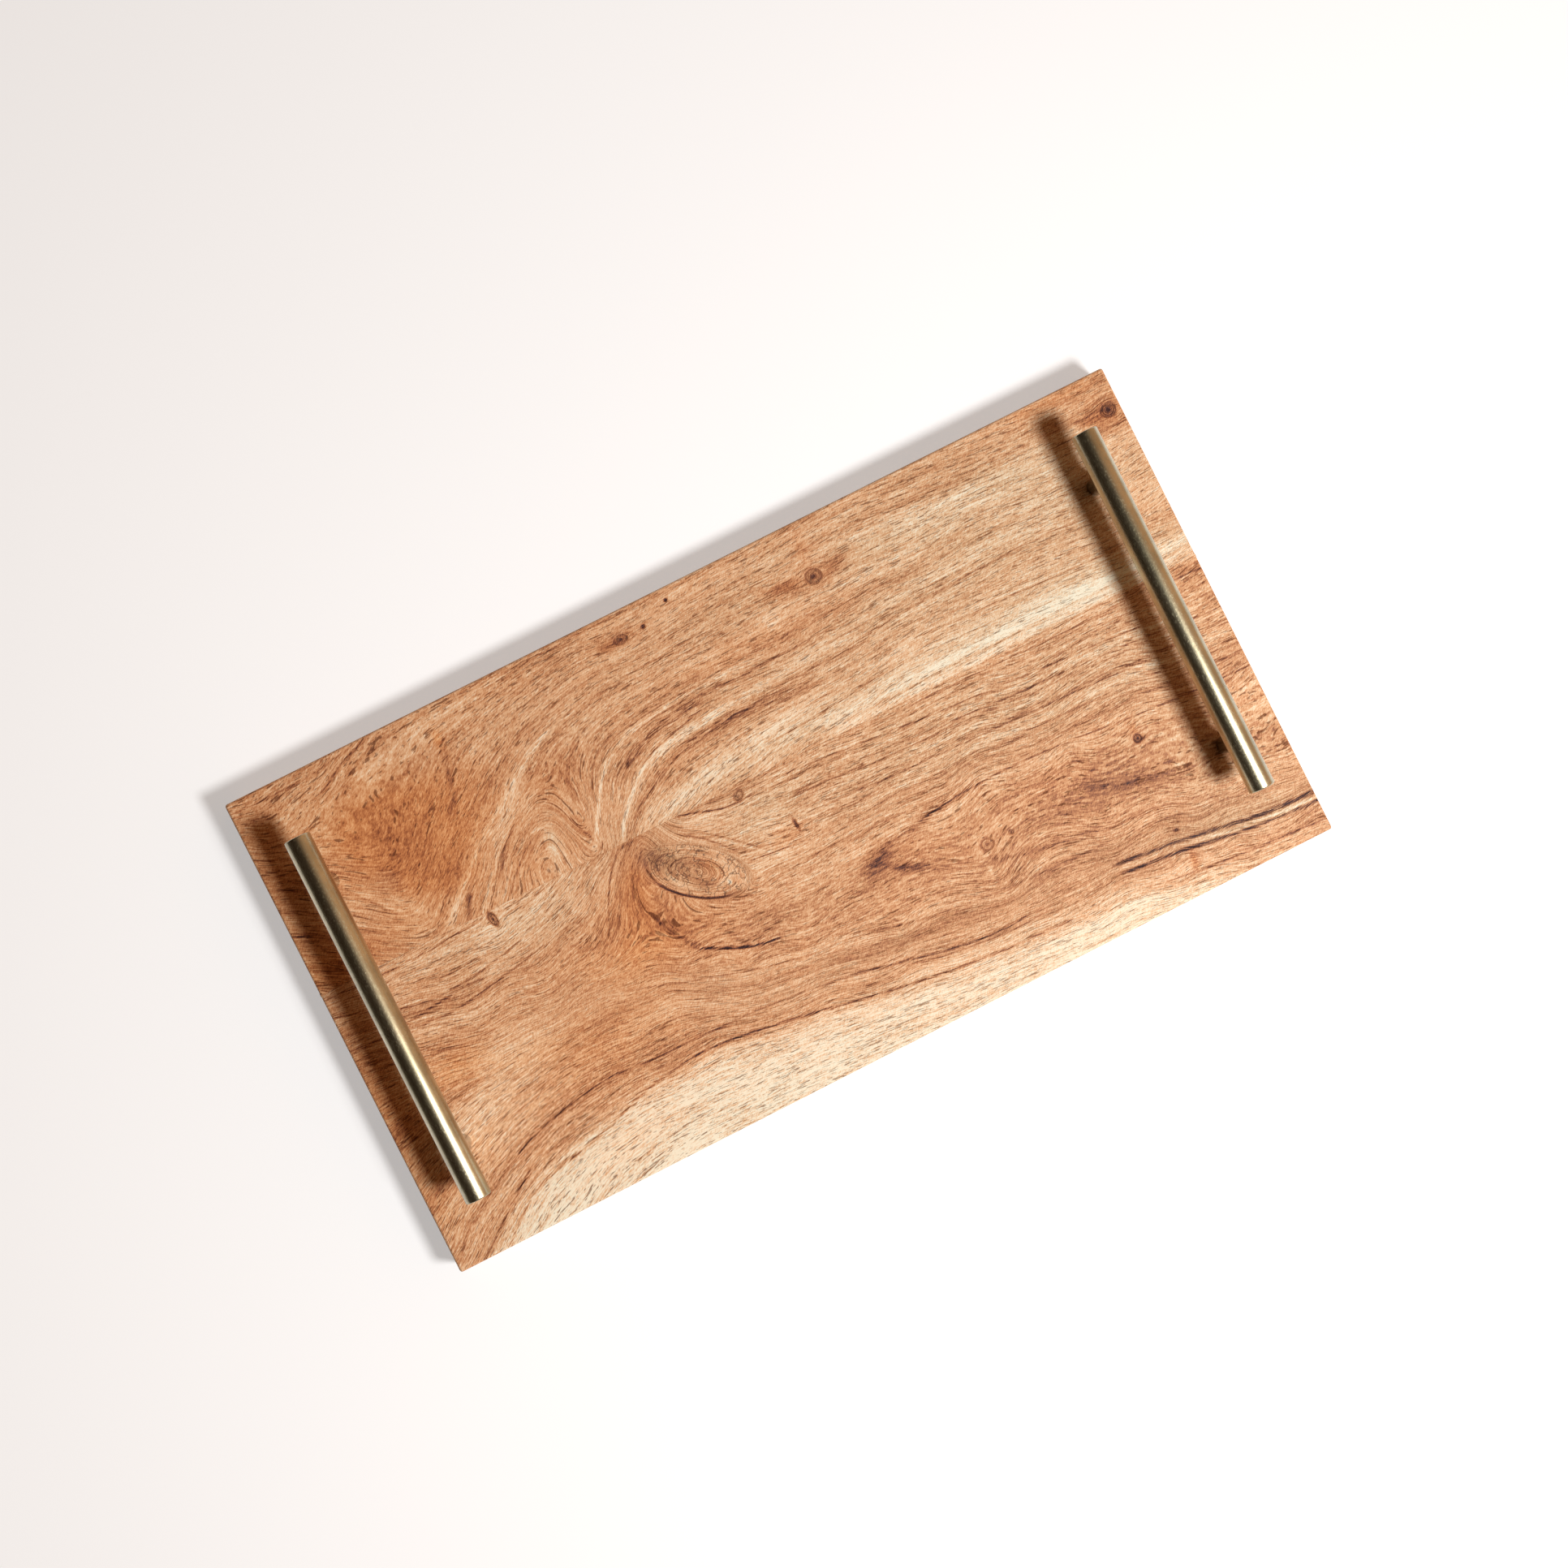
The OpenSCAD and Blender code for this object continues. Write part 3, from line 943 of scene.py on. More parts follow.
figure_group, figure_in, figure_out = new_group(
    "Acacia figure",
    {"Grain": "value", "Along": "value", "Depth": "value", "Openness": "value"},
    {"Tone": "value", "Gaps": "value", "Pores": "value", "Fibres": "value"},
)
place = (figure_in["Along"], figure_in["Grain"], figure_in["Depth"])
openness = figure_in["Openness"]
bands = grain_noise(figure_group, place, (0.006, 0.11, 0.03), 2.0, 0.5, 7.3)
lines = grain_noise(figure_group, place, (0.016, 0.55, 0.15), 3.0, 0.6, 3.1)
threads = grain_noise(figure_group, place, (0.05, 1.9, 1.0), 2.0, 0.6, 11.7)
fibres = grain_noise(figure_group, place, (0.26, 3.3, 2.6), 2.0, 0.6, 5.9)
dashes = grain_noise(figure_group, place, (0.17, 2.5, 2.4), 1.0, 0.5, 21.1)
short_dashes = grain_noise(figure_group, place, (0.36, 3.6, 3.6), 1.0, 0.5, 33.7)
gather = ramp_between(lines, 0.62, 0.36)
limit = 0.70 - openness * 0.055 - gather * 0.05
pores = ramp_between(dashes, limit, limit + 0.055)
short_pores = ramp_between(short_dashes, limit + 0.005, limit + 0.075)
quiet = openness * 0.6 + 0.4
broad = (bands - 0.5) * BAND_WEIGHT + (lines - 0.5) * LINE_WEIGHT + (threads - 0.5) * THREAD_WEIGHT
tone = broad * quiet + (fibres - 0.5) * FIBRE_WEIGHT
feed(figure_group, figure_out.inputs["Tone"], tone)
feed(figure_group, figure_out.inputs["Gaps"], ramp_between(dashes, 0.36, 0.6) * 1.05 + 0.25)
all_pores = calculate(figure_group, "MAXIMUM", pores, short_pores * 0.85)
feed(figure_group, figure_out.inputs["Pores"], all_pores)
feed(figure_group, figure_out.inputs["Fibres"], fibres)

knot_group, knot_in, knot_out = new_group(
    "Knot",
    {"Distance": "value", "Edge": "value", "Rim": "value", "Heart": "value", "Checks": "value"},
    {"Tone": "value", "Crack": "value"},
)
inside = ramp_between(knot_in["Distance"], 1.06, 0.94)
rim_line = bell(knot_in["Edge"], 0.0, 0.55) * knot_in["Rim"]
inner_rings = bell(knot_in["Distance"], 0.78, 0.05) * 0.16 + bell(knot_in["Distance"], 0.5, 0.05) * 0.14
heart = ramp_between(knot_in["Distance"], 0.55, 0.1) * knot_in["Heart"]
darkness = rim_line * 1.3 + inner_rings + heart * 0.8 + inside * knot_in["Heart"] * 0.22
feed(knot_group, knot_out.inputs["Tone"], darkness * -1.0)
feed(knot_group, knot_out.inputs["Crack"], inside * bell(knot_in["Checks"], 0.5, 0.02))
print("wood groups:", [group.name for group in bpy.data.node_groups])


# %% [markdown]
# Single streaks are part of the figure that the eye remembers, such as the dark V right of the middle
# and the purple lines at the right end. Each is a smooth cubic curve through a few points, with a half
# width and an amount by which it lightens or darkens the wood.

# %% Streaks
REAR_STREAKS = [
    ([(137, 88), (143, 78), (149, 68), (155, 60.5), (161, 56.5)], 2.0, 0.42),
    ([(165, 54), (175, 50.5), (190, 48), (212, 46.5), (240, 46.5)], 1.5, 0.36),
    ([(173, 48.5), (190, 46), (205, 45.5)], 0.35, -0.4),
    ([(166, 54), (178, 51.2), (192, 49.5)], 0.35, -0.35),
    ([(160, 66), (170, 60), (182, 55.8), (195, 53), (206, 52)], 2.8, -0.45),
    ([(172, 65.5), (182, 61.5), (190, 59.5), (205, 56)], 0.35, -0.55),
    ([(148, 92), (153, 84), (160, 76), (167, 70.5), (180, 65), (195, 61.5), (212, 60.5)], 1.9, 0.5),
    ([(205, 60), (225, 58.5), (250, 57), (278, 56.5)], 2.0, 0.26),
    ([(151, 92), (160, 84), (172, 75.5), (185, 69), (200, 66.3), (225, 66), (255, 66.5)], 2.6, -0.34),
    ([(210, 64.5), (235, 63.5), (262, 62), (285, 61.3)], 1.4, -0.34),
    ([(230, 69), (252, 68.6), (275, 67.8)], 0.6, -0.3),
    ([(205, 50), (222, 50.3), (250, 50), (278, 49.4)], 0.7, -0.42),
    ([(262, 55.2), (275, 54.6), (290, 54)], 0.35, -0.45),
    ([(283, 59.6), (316, 56.5), (353, 55), (395, 56)], 0.5, -0.42),
    ([(245, 75.6), (254, 74.9), (262, 74.3)], 0.4, -0.6),
    ([(226, 82), (250, 81), (290, 77.2), (305, 76.6)], 0.4, -0.42),
    ([(305, 70.2), (353, 72.5), (405, 75)], 0.5, -0.32),
    ([(255, 92), (300, 91.6), (432, 91.5)], 2.2, 0.2),
    ([(248, 86), (300, 85.5), (432, 85)], 2.2, 0.2),
    ([(262, 88.8), (320, 88.4), (432, 88)], 0.8, -0.24),
    ([(37, 16), (45, 11), (55, 6.5), (70, 0.5)], 0.8, -0.42),
    ([(0, 64.5), (8, 68), (18, 75)], 0.8, -0.6),
    ([(62, 92), (75, 80), (90, 67), (106, 56), (125, 42), (145, 31)], 2.2, 0.26),
    ([(80, 92), (92, 78), (104, 67), (116, 58)], 1.2, 0.2),
    ([(94, 79), (103, 70), (112, 62)], 1.8, -0.24),
    ([(90, 92), (97, 83), (106, 75), (115, 70.5), (121, 71)], 0.9, 0.3),
    ([(92, 93), (99, 85), (107, 77.5), (115, 73)], 0.8, -0.26),
    ([(127, 62), (133, 76), (139, 92)], 1.5, -0.4),
    ([(28, 50), (38, 64), (50, 79)], 1.6, 0.22),
    ([(30, 56), (40, 69), (48, 78)], 1.0, -0.2),
    ([(200, 37.5), (250, 36), (340, 34.5)], 1.0, 0.16),
    ([(216, 79), (250, 75), (300, 71.5)], 1.4, 0.2),
    ([(150, 31), (180, 28.5), (216, 27)], 0.8, -0.16),
    ([(330, 15), (380, 15.5), (432, 17)], 0.5, -0.24),
    ([(236, 43.5), (280, 42.5), (330, 42)], 0.6, -0.2),
    ([(300, 44), (350, 43), (395, 43.5)], 0.5, -0.22),
    ([(0, 5), (30, 5.5), (60, 2)], 0.6, -0.3),
    ([(130, 3), (190, 2), (250, 3)], 0.7, -0.24),
]
FRONT_STREAKS = [
    ([(145, 128), (150, 138), (155, 146), (161, 151.5)], 2.4, -0.36),
    ([(158, 150), (165, 153.6), (172, 156.3), (180, 159.5), (191, 161)], 0.65, -0.95),
    ([(118, 151), (130, 155), (145, 160), (160, 164), (175, 169), (202, 174)], 0.45, -0.42),
    ([(28, 113.5), (40, 116), (50, 116.5), (65, 115.5), (88, 110.5)], 0.5, -0.55),
    ([(0, 121), (28, 121), (40, 119.6), (50, 118.6), (68, 118.6)], 0.7, -0.5),
    ([(28, 123), (45, 125.5), (55, 124.5), (72, 122.5), (92, 118.5)], 0.5, -0.45),
    ([(34, 138), (45, 140.5), (52, 141.3), (59, 140.4)], 0.8, -0.45),
    ([(0, 104), (8, 106.5), (18, 110)], 0.8, -0.5),
    ([(0, 96), (30, 97), (70, 95.5)], 0.6, -0.5),
    ([(128, 118), (133, 109), (138, 101), (143, 96.6), (151, 94)], 0.8, -0.5),
    ([(138, 106), (144, 99.5), (152, 94)], 0.6, -0.25),
    ([(174, 93.5), (185, 96.5), (195, 99.3), (205, 98.6)], 0.6, -0.65),
    ([(205, 99.5), (225, 101), (245, 102)], 0.4, -0.35),
    ([(172, 101), (181, 108), (190, 117.5)], 0.6, -0.4),
    ([(180, 104), (190, 112), (203, 124)], 0.5, -0.3),
    ([(188, 112), (196, 119), (206, 126.5)], 0.8, 0.3),
    ([(196, 125), (204, 126.3), (214, 127)], 0.35, -0.6),
    ([(46, 194), (60, 188.5), (70, 186), (85, 183.5), (102, 182)], 0.45, -0.7),
    ([(100, 182.5), (130, 184), (160, 185), (202, 189.5)], 0.4, -0.4),
    ([(128, 191), (150, 191.5), (165, 193.5), (175, 195), (185, 196.5), (203, 200)], 0.6, -0.8),
    ([(66, 206.5), (85, 202), (100, 196.5), (120, 192.5), (132, 191.6)], 0.8, -0.42),
    ([(24, 229), (32, 222), (42, 214), (55, 208.5), (70, 205.8)], 0.9, -0.5),
    ([(12, 229), (25, 219), (38, 209), (50, 200)], 0.6, -0.36),
    ([(0, 226), (14, 213), (30, 202), (48, 194)], 0.5, -0.3),
    ([(200, 189.3), (230, 194), (255, 199.6), (292, 202)], 0.6, -0.75),
    ([(200, 199.5), (230, 205), (267, 210), (312, 212.6)], 0.6, -0.75),
    ([(238, 198), (260, 202.5), (300, 204.5)], 0.4, -0.4),
    ([(338, 199.8), (367, 203), (392, 207), (410, 209), (434, 210.3)], 0.9, -1.2),
    ([(341, 205), (367, 207.5), (392, 211), (434, 214.8)], 0.8, -1.1),
    ([(380, 207), (405, 212), (434, 212.6)], 0.6, 0.35),
    ([(355, 217), (392, 221), (434, 224)], 0.5, -0.55),
    ([(205, 96), (250, 100), (300, 104), (350, 107.5), (400, 110.5)], 0.5, -0.42),
    ([(300, 110), (350, 113), (400, 116), (434, 119)], 0.5, -0.4),
    ([(240, 118), (262, 119.6), (325, 122), (395, 125.5)], 0.5, -0.38),
    ([(285, 95.5), (340, 96.6), (432, 99)], 0.4, -0.4),
    ([(300, 107), (350, 110.5), (432, 114)], 0.9, 0.24),
    ([(195, 133), (225, 135.5), (262, 136)], 1.0, -0.2),
    ([(330, 129), (380, 131), (432, 134)], 0.4, -0.26),
    ([(270, 143.5), (285, 140.8), (300, 139.8), (342, 142.3), (380, 144.4), (434, 147.5)], 0.45, -0.55),
    ([(240, 153), (252, 147.8), (264, 145), (278, 142.4), (300, 140.6)], 2.4, -0.36),
    ([(240, 150.5), (250, 156.5), (257, 160.3), (268, 165)], 1.9, -0.45),
    ([(262, 162.5), (280, 170), (300, 176), (342, 182.5), (394, 192.5)], 1.7, -0.27),
    ([(340, 161), (350, 157), (370, 155.2), (392, 156)], 1.1, -0.2),
    ([(338, 162), (350, 167.5), (370, 173), (398, 178.5)], 1.6, -0.1),
    ([(215, 172), (260, 184), (330, 189), (400, 197)], 0.6, -0.26),
    ([(225, 108), (265, 110.5), (330, 114), (400, 118)], 1.0, -0.24),
    ([(300, 120), (350, 121.5), (400, 124), (434, 126)], 0.8, -0.3),
    ([(255, 128), (300, 129), (360, 130)], 1.2, -0.2),
    ([(330, 136), (380, 137.5), (434, 140)], 0.9, -0.26),
    ([(230, 113), (280, 115.5), (340, 118)], 1.2, 0.2),
    ([(290, 125), (350, 126.5), (420, 129)], 1.2, 0.2),
]
TONE_WEIGHT = 0.6
MOTTLE_WEIGHT = 0.26
GRIT_WEIGHT = 0.7
STREAK_WANDER = 1.5
OIL_DEPTH = 0.83
WOOD_TONES = [
    (0.00, paint(58, 30, 30)),
    (0.14, paint(108, 62, 46)),
    (0.27, paint(146, 90, 60)),
    (0.39, paint(176, 116, 78)),
    (0.50, paint(201, 141, 96)),
    (0.61, paint(218, 165, 121)),
    (0.74, paint(234, 190, 148)),
    (0.87, paint(243, 212, 178)),
    (1.00, paint(250, 232, 203)),
]
PORE_COLOUR = (0.31, 0.22, 0.18, 1)
PORE_DEPTH = 0.05 * MM
CRACK_COLOUR = paint(72, 42, 32)
WARM_TINT = (1.02, 0.86, 0.68, 1)
COOL_TINT = (0.92, 1.04, 1.11, 1)


def acacia(name, streaks, base_tone, figure_strength, wander):
    material, tree, shader = new_material(name)
    x, y, z = object_place(tree)
    along = attribute(tree, "along")
    wobble = grain_noise(tree, (x, y, z), (0.02, 0.09, 0.09), 3.0, 0.5, 2.2)
    grain = attribute(tree, "grain") + (wobble - 0.5) * wander
    figure = place_group(
        tree, figure_group, Grain=grain, Along=along, Depth=z, Openness=attribute(tree, "openness")
    )
    gaps = Number(tree, figure.outputs["Gaps"])
    checks = grain_noise(tree, (x, y, z), (0.22, 0.22, 0.22), 2.0, 0.6, 9.0)
    knot = place_group(
        tree, knot_group, Distance=attribute(tree, "knot_distance"), Edge=attribute(tree, "knot_edge"),
        Rim=attribute(tree, "knot_rim"), Heart=attribute(tree, "knot_heart"), Checks=checks,
    )
    total = Number(tree, figure.outputs["Tone"]) * figure_strength + attribute(tree, "tone")
    total = total + Number(tree, knot.outputs["Tone"])
    board_along = attribute(tree, "board_along")
    board_across = attribute(tree, "board_across") + (wobble - 0.5) * STREAK_WANDER
    for points, width, strength in streaks:
        steps = np.array([point[0] - points[0][0] for point in points], float)
        order = min(3, len(points) - 1)
        curve = np.polyfit(steps, [point[1] for point in points], order)
        cubic, square, slope, level = (float(term) for term in np.r_[np.zeros(3 - order), curve])
        streak = place_group(
            tree, streak_group, Along=board_along, Across=board_across, Gaps=gaps,
            Cubic=cubic, Square=square, Slope=slope, Level=level,
            Start=points[0][0], End=points[-1][0], Width=width, Strength=strength,
        )
        total = total + Number(tree, streak.outputs["Tone"])
    pores = Number(tree, figure.outputs["Pores"])
    fibres = Number(tree, figure.outputs["Fibres"])
    mottle = grain_noise(tree, (x, y, z), (0.04, 0.06, 0.05), 4.0, 0.6, 15.0)
    grit = grain_noise(tree, (x + y, x - y, z), (0.5, 1.6, 1.6), 2.0, 0.6, 27.0)
    cloudy = (mottle - 0.5) * MOTTLE_WEIGHT + (grit - 0.5) * GRIT_WEIGHT
    shade = total * TONE_WEIGHT + cloudy + base_tone
    wood = colour_ramp(shade, WOOD_TONES)
    warmth = attribute(tree, "warmth") + (mottle - 0.5) * 0.9 + (fibres - 0.5) * -0.5
    warm = calculate(tree, "MAXIMUM", warmth, 0.0)
    cool = calculate(tree, "MAXIMUM", warmth * -1.0, 0.0)
    wood = blend_colours(tree, warm, wood, blend_colours(tree, 1.0, wood, WARM_TINT, "MULTIPLY"))
    wood = blend_colours(tree, cool, wood, blend_colours(tree, 1.0, wood, COOL_TINT, "MULTIPLY"))
    crack = Number(tree, knot.outputs["Crack"])
    wood = blend_colours(tree, pores * 0.85, wood, blend_colours(tree, 1.0, wood, PORE_COLOUR, "MULTIPLY"))
    wood = blend_colours(tree, crack * 0.7, wood, CRACK_COLOUR)
    wood = blend_colours(tree, 1.0, wood, (OIL_DEPTH, OIL_DEPTH, OIL_DEPTH, 1), "MULTIPLY")
    feed(tree, shader.inputs["Base Color"], wood)
    feed(tree, shader.inputs["Roughness"], pores * 0.2 + fibres * 0.16 + 0.5)
    add_bump(tree, shader, fibres * 0.35 - pores - crack * 1.5, PORE_DEPTH, 0.8)
    shader.inputs["Specular IOR Level"].default_value = 0.2
    return material


rear_acacia = acacia("rear_acacia", REAR_STREAKS, 0.615, 0.9, 1.3)
front_acacia = acacia("front_acacia", FRONT_STREAKS, 0.61, 1.1, 0.8)
hand_over(rear_plank, "rear_plank", rear_acacia)
hand_over(front_plank, "front_plank", front_acacia)
print("streaks:", len(REAR_STREAKS) + len(FRONT_STREAKS))


# %% [markdown]
# ## Metal and rubber finishes
#
# The brass has been drawn, cut and lacquered: a dull olive metal with tiny pits and fine marks along
# the bar, under a clear coat whose own reflections are sharp. The screws and studs are zinc plated, a
# pale grey with a soft mottle. The feet are black rubber.

# %% Brass, zinc and rubber
speckle_group, speckle_in, speckle_out = new_group(
    "Pitted metal",
    {"Stretch": "value"},
    {"Stain": "value", "Pits": "value", "Marks": "value"},
)
place = object_place(speckle_group)
stain = grain_noise(speckle_group, place, (0.12, 0.05, 0.12), 4.0, 0.6, 4.0)
pits = ramp_between(grain_noise(speckle_group, place, (1.5, 0.9, 1.5), 3.0, 0.7, 8.0), 0.52, 0.7)
drawn = (place[0], place[1] / speckle_in["Stretch"], place[2])
marks = grain_noise(speckle_group, drawn, (3.0, 3.0, 3.0), 2.0, 0.6, 1.0)
feed(speckle_group, speckle_out.inputs["Stain"], stain)
feed(speckle_group, speckle_out.inputs["Pits"], pits)
feed(speckle_group, speckle_out.inputs["Marks"], marks)


def metal(name, clean, stained, roughness, lacquer, bump_depth, stretch):
    material, tree, shader = new_material(name)
    speckle = place_group(tree, speckle_group, Stretch=stretch)
    stain = Number(tree, speckle.outputs["Stain"])
    pits = Number(tree, speckle.outputs["Pits"])
    marks = Number(tree, speckle.outputs["Marks"])
    share = ramp_between(stain, 0.35, 0.65) * 0.5 + pits * 0.5
    feed(tree, shader.inputs["Base Color"], blend_colours(tree, share, clean, stained))
    feed(tree, shader.inputs["Roughness"], stain * 0.12 + marks * 0.12 + pits * 0.2 + (roughness - 0.12))
    shader.inputs["Metallic"].default_value = 1.0
    shader.inputs["Coat Weight"].default_value = lacquer
    shader.inputs["Coat Roughness"].default_value = 0.1
    add_bump(tree, shader, marks * 0.5 - pits, bump_depth)
    return material


RUBBER_GRAIN = 0.05 * MM


def rubber_material():
    material, tree, shader = new_material("rubber")
    place = object_place(tree)
    dust = grain_noise(tree, place, (0.5, 0.5, 0.5), 3.0, 0.6, 6.0)
    dusty = colour_ramp(dust, [(0.3, paint(34, 32, 31)), (0.7, paint(62, 58, 55))])
    feed(tree, shader.inputs["Base Color"], dusty)
    feed(tree, shader.inputs["Roughness"], dust * 0.3 + 0.55)
    grit = grain_noise(tree, place, (5.0, 5.0, 5.0), 2.0, 0.5, 2.0)
    add_bump(tree, shader, grit, RUBBER_GRAIN)
    return material


brass = metal("brass", paint(186, 177, 148), paint(128, 122, 96), 0.30, 0.8, 0.010 * MM, 12.0)
zinc_steel = metal("zinc_steel", paint(196, 198, 200), paint(160, 160, 154), 0.32, 0.0, 0.02 * MM, 1.0)
rubber = rubber_material()
print("finishes:", brass.name, zinc_steel.name, rubber.name)


# %% [markdown]
# ## Bars and posts
#
# A bar is a turned rod: a cylinder whose end edges are bevelled, with a blind tapped hole over each
# post. A post is sawn from thinner rod, coped at the top to sit against the round of the bar, and
# bored at both ends for the stud and the screw.

# %% Model the handles
ROD_SIDES = 96
BAR_BEVEL = 0.6 * MM
POST_BEVEL = 0.15 * MM
TAPPED_RADIUS = 2.05 * MM
METAL_SMOOTHING = 30
TAP_ROOM = 1.0 * MM
OVERRUN = 1.0 * MM


def add_rod(name, radius, start, end, sides=ROD_SIDES):
    """A plain cylinder between two points, which lie on a line along Y or Z."""
    bpy.ops.object.select_all(action="DESELECT")
    turn = (math.pi / 2, 0, 0) if abs(end.y - start.y) > TOUCH else (0, 0, 0)
    bpy.ops.mesh.primitive_cylinder_add(
        vertices=sides, radius=radius, depth=(end - start).length, location=(start + end) / 2, rotation=turn
    )
    return start_piece(name)


def add_upright(name, radius, centre, start_z, end_z, sides=ROD_SIDES):
    """A plain cylinder that stands over one place."""
    return add_rod(
        name, radius, Vector((centre.x, centre.y, start_z)), Vector((centre.x, centre.y, end_z)), sides
    )


def bore_up(piece, centre, radius, start_z, end_z):
    cut(piece, add_upright("cutter", radius, centre, start_z, end_z, HOLE_SIDES))


def bevel_where(piece, test, width, steps):
    """Bevels the edges whose test holds."""
    shape = edit(piece, "EDGE")
    pick(piece, shape, shape.edges, test)
    bpy.ops.mesh.bevel(offset=width, segments=steps, affect="EDGES")
    finish_edit()


def rim_at(*heights):
    """A test for the edges that lie flat at one of some heights."""
    return lambda edge: any(all(on(vertex.co.z, height) for vertex in edge.verts) for height in heights)


def smooth(piece, degrees):
    """Shades a piece smooth, except over edges sharper than an angle."""
    only(piece)
    bpy.ops.object.shade_smooth_by_angle(angle=math.radians(degrees))


def model_bar(side):
    low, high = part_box(f"{side}_bar")
    centre = middle(f"{side}_bar")
    radius = min(high.x - low.x, high.z - low.z) / 2
    start = Vector((centre.x, low.y, centre.z))
    bar = add_rod(f"{side}_grip", radius, start, Vector((centre.x, high.y, centre.z)))
    bevel_where(bar, lambda edge: on(edge.verts[0].co.y, edge.verts[1].co.y), BAR_BEVEL, 3)
    for end in ENDS:
        stud_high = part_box(f"{side}_{end}_stud")[1]
        bore_up(bar, middle(f"{side}_{end}_stud"), TAPPED_RADIUS, low.z - OVERRUN, stud_high.z + TAP_ROOM)
    return bar


def model_post(corner, bar_node):
    low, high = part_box(f"{corner}_post")
    centre = middle(f"{corner}_post")
    bar_low, bar_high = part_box(bar_node)
    bar_radius = (bar_high.x - bar_low.x) / 2
    bar_centre = middle(bar_node)
    radius = (high.x - low.x) / 2
    post = add_upright(f"{corner}_pillar", radius, centre, low.z, bar_centre.z)
    bevel_where(post, rim_at(low.z), POST_BEVEL, 2)
    reach = Vector((0, radius + OVERRUN, 0))
    saddle = Vector((bar_centre.x, centre.y, bar_centre.z))
    cut(post, add_rod("cutter", bar_radius, saddle - reach, saddle + reach))
    stud_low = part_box(f"{corner}_stud")[0]
    screw_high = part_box(f"{corner}_screw")[1]
    bore_up(post, centre, TAPPED_RADIUS, low.z - OVERRUN, screw_high.z + TAP_ROOM)
    bore_up(post, centre, TAPPED_RADIUS, stud_low.z - TAP_ROOM, bar_centre.z)
    return post


for side in SIDES:
    bar = model_bar(side)
    smooth(bar, METAL_SMOOTHING)
    hand_over(bar, f"{side}_bar", brass)

first_post = model_post(CORNERS[0], "left_bar")
smooth(first_post, METAL_SMOOTHING)
for corner in CORNERS[1:]:
    shift = middle(f"{corner}_post") - middle(f"{CORNERS[0]}_post")
    twin = copy_piece(first_post, f"{corner}_pillar", shift)
    hand_over(twin, f"{corner}_post", brass)
hand_over(first_post, f"{CORNERS[0]}_post", brass)
print("post faces:", len(first_post.data.polygons))


# %% [markdown]
# ## Screws, studs, washers and feet
#
# These are the same at all four corners, so each is modelled once, at the first corner, and copied.
# A thread is a shallow groove that climbs one pitch in each turn. The plain shank is divided into
# fine rings, and each point is drawn in by a depth that depends on its height and on its angle.

# %% Threads, and the screws and studs that carry them
THREAD_PITCH = 0.7 * MM
THREAD_DEPTH = 0.4 * MM
RINGS_PER_PITCH = 6
SHANK_SIDES = 32
HEAD_SIDES = 64


def cut_thread(piece, centre, radius, bottom, top):
    """Divides the plain shank into rings, and draws the groove into it."""
    shape = edit(piece, "EDGE")

    def upright(edge):
        first, second = (vertex.co for vertex in edge.verts)
        flat = Vector((first.x - centre.x, first.y - centre.y)).length
        return abs(first.z - second.z) > (top - bottom) * 0.9 and on(flat, radius)

    pick(piece, shape, shape.edges, upright)
    bpy.ops.mesh.subdivide(number_cuts=round((top - bottom) / THREAD_PITCH * RINGS_PER_PITCH))
    finish_edit()
    points = mesh_points(piece)
    aside = points[:, :2] - (centre.x, centre.y)
    distance = np.hypot(aside[:, 0], aside[:, 1])
    angle = np.arctan2(aside[:, 1], aside[:, 0]) / (2 * math.pi)
    climb = np.mod(points[:, 2] / THREAD_PITCH - angle, 1)
    groove = THREAD_DEPTH * np.clip(1.25 - 2.5 * np.abs(climb - 0.5), 0, 1)
    runout = soft_step(points[:, 2], bottom, bottom + THREAD_PITCH)
    runout = runout * soft_step(points[:, 2], top, top - THREAD_PITCH)
    on_shank = np.abs(distance - radius) < TOUCH
    drawn = np.where(on_shank, 1 - groove * runout / radius, 1)
    points[:, 0] = centre.x + aside[:, 0] * drawn
    points[:, 1] = centre.y + aside[:, 1] * drawn
    piece.data.vertices.foreach_set("co", points.ravel())
    piece.data.update()
    return int(on_shank.sum())


# %% [markdown]
# The pan head is a low disc with a domed face and a cross recess. It starts as a disc, its shank is
# inset and extruded from the upper face, and the dome is a wide bevel of the lower rim. Two crossed
# blocks, narrower at their inner ends as a driver's tip is, cut the recess.

# %% Model the screw and the stud
HEAD_HEIGHT = 3.0 * MM
HEAD_RIM = 1.0 * MM
RECESS_LENGTH = 4.4 * MM
RECESS_WIDTH = 1.0 * MM
RECESS_DEPTH = 1.6 * MM
RECESS_TAPER = 0.72
THREAD_CHAMFER = 0.5 * MM
SOCKET_FLATS = 2.0 * MM
SOCKET_DEPTH = 2.0 * MM


def add_recess_arm(centre, bottom, turn):
    bpy.ops.object.select_all(action="DESELECT")
    bpy.ops.mesh.primitive_cube_add(
        size=1, location=(centre.x, centre.y, bottom + (RECESS_DEPTH - OVERRUN) / 2), rotation=(0, 0, turn)
    )
    arm = bpy.context.object
    arm.scale = (RECESS_LENGTH, RECESS_WIDTH, RECESS_DEPTH + OVERRUN)
    arm = start_piece("cutter")
    shape = edit(arm)
    pick(arm, shape, shape.faces, lambda face: face.normal.z > 0.9)
    bpy.ops.transform.resize(
        value=(RECESS_TAPER, RECESS_TAPER, 1), center_override=(centre.x, centre.y, bottom)
    )
    finish_edit()
    return arm


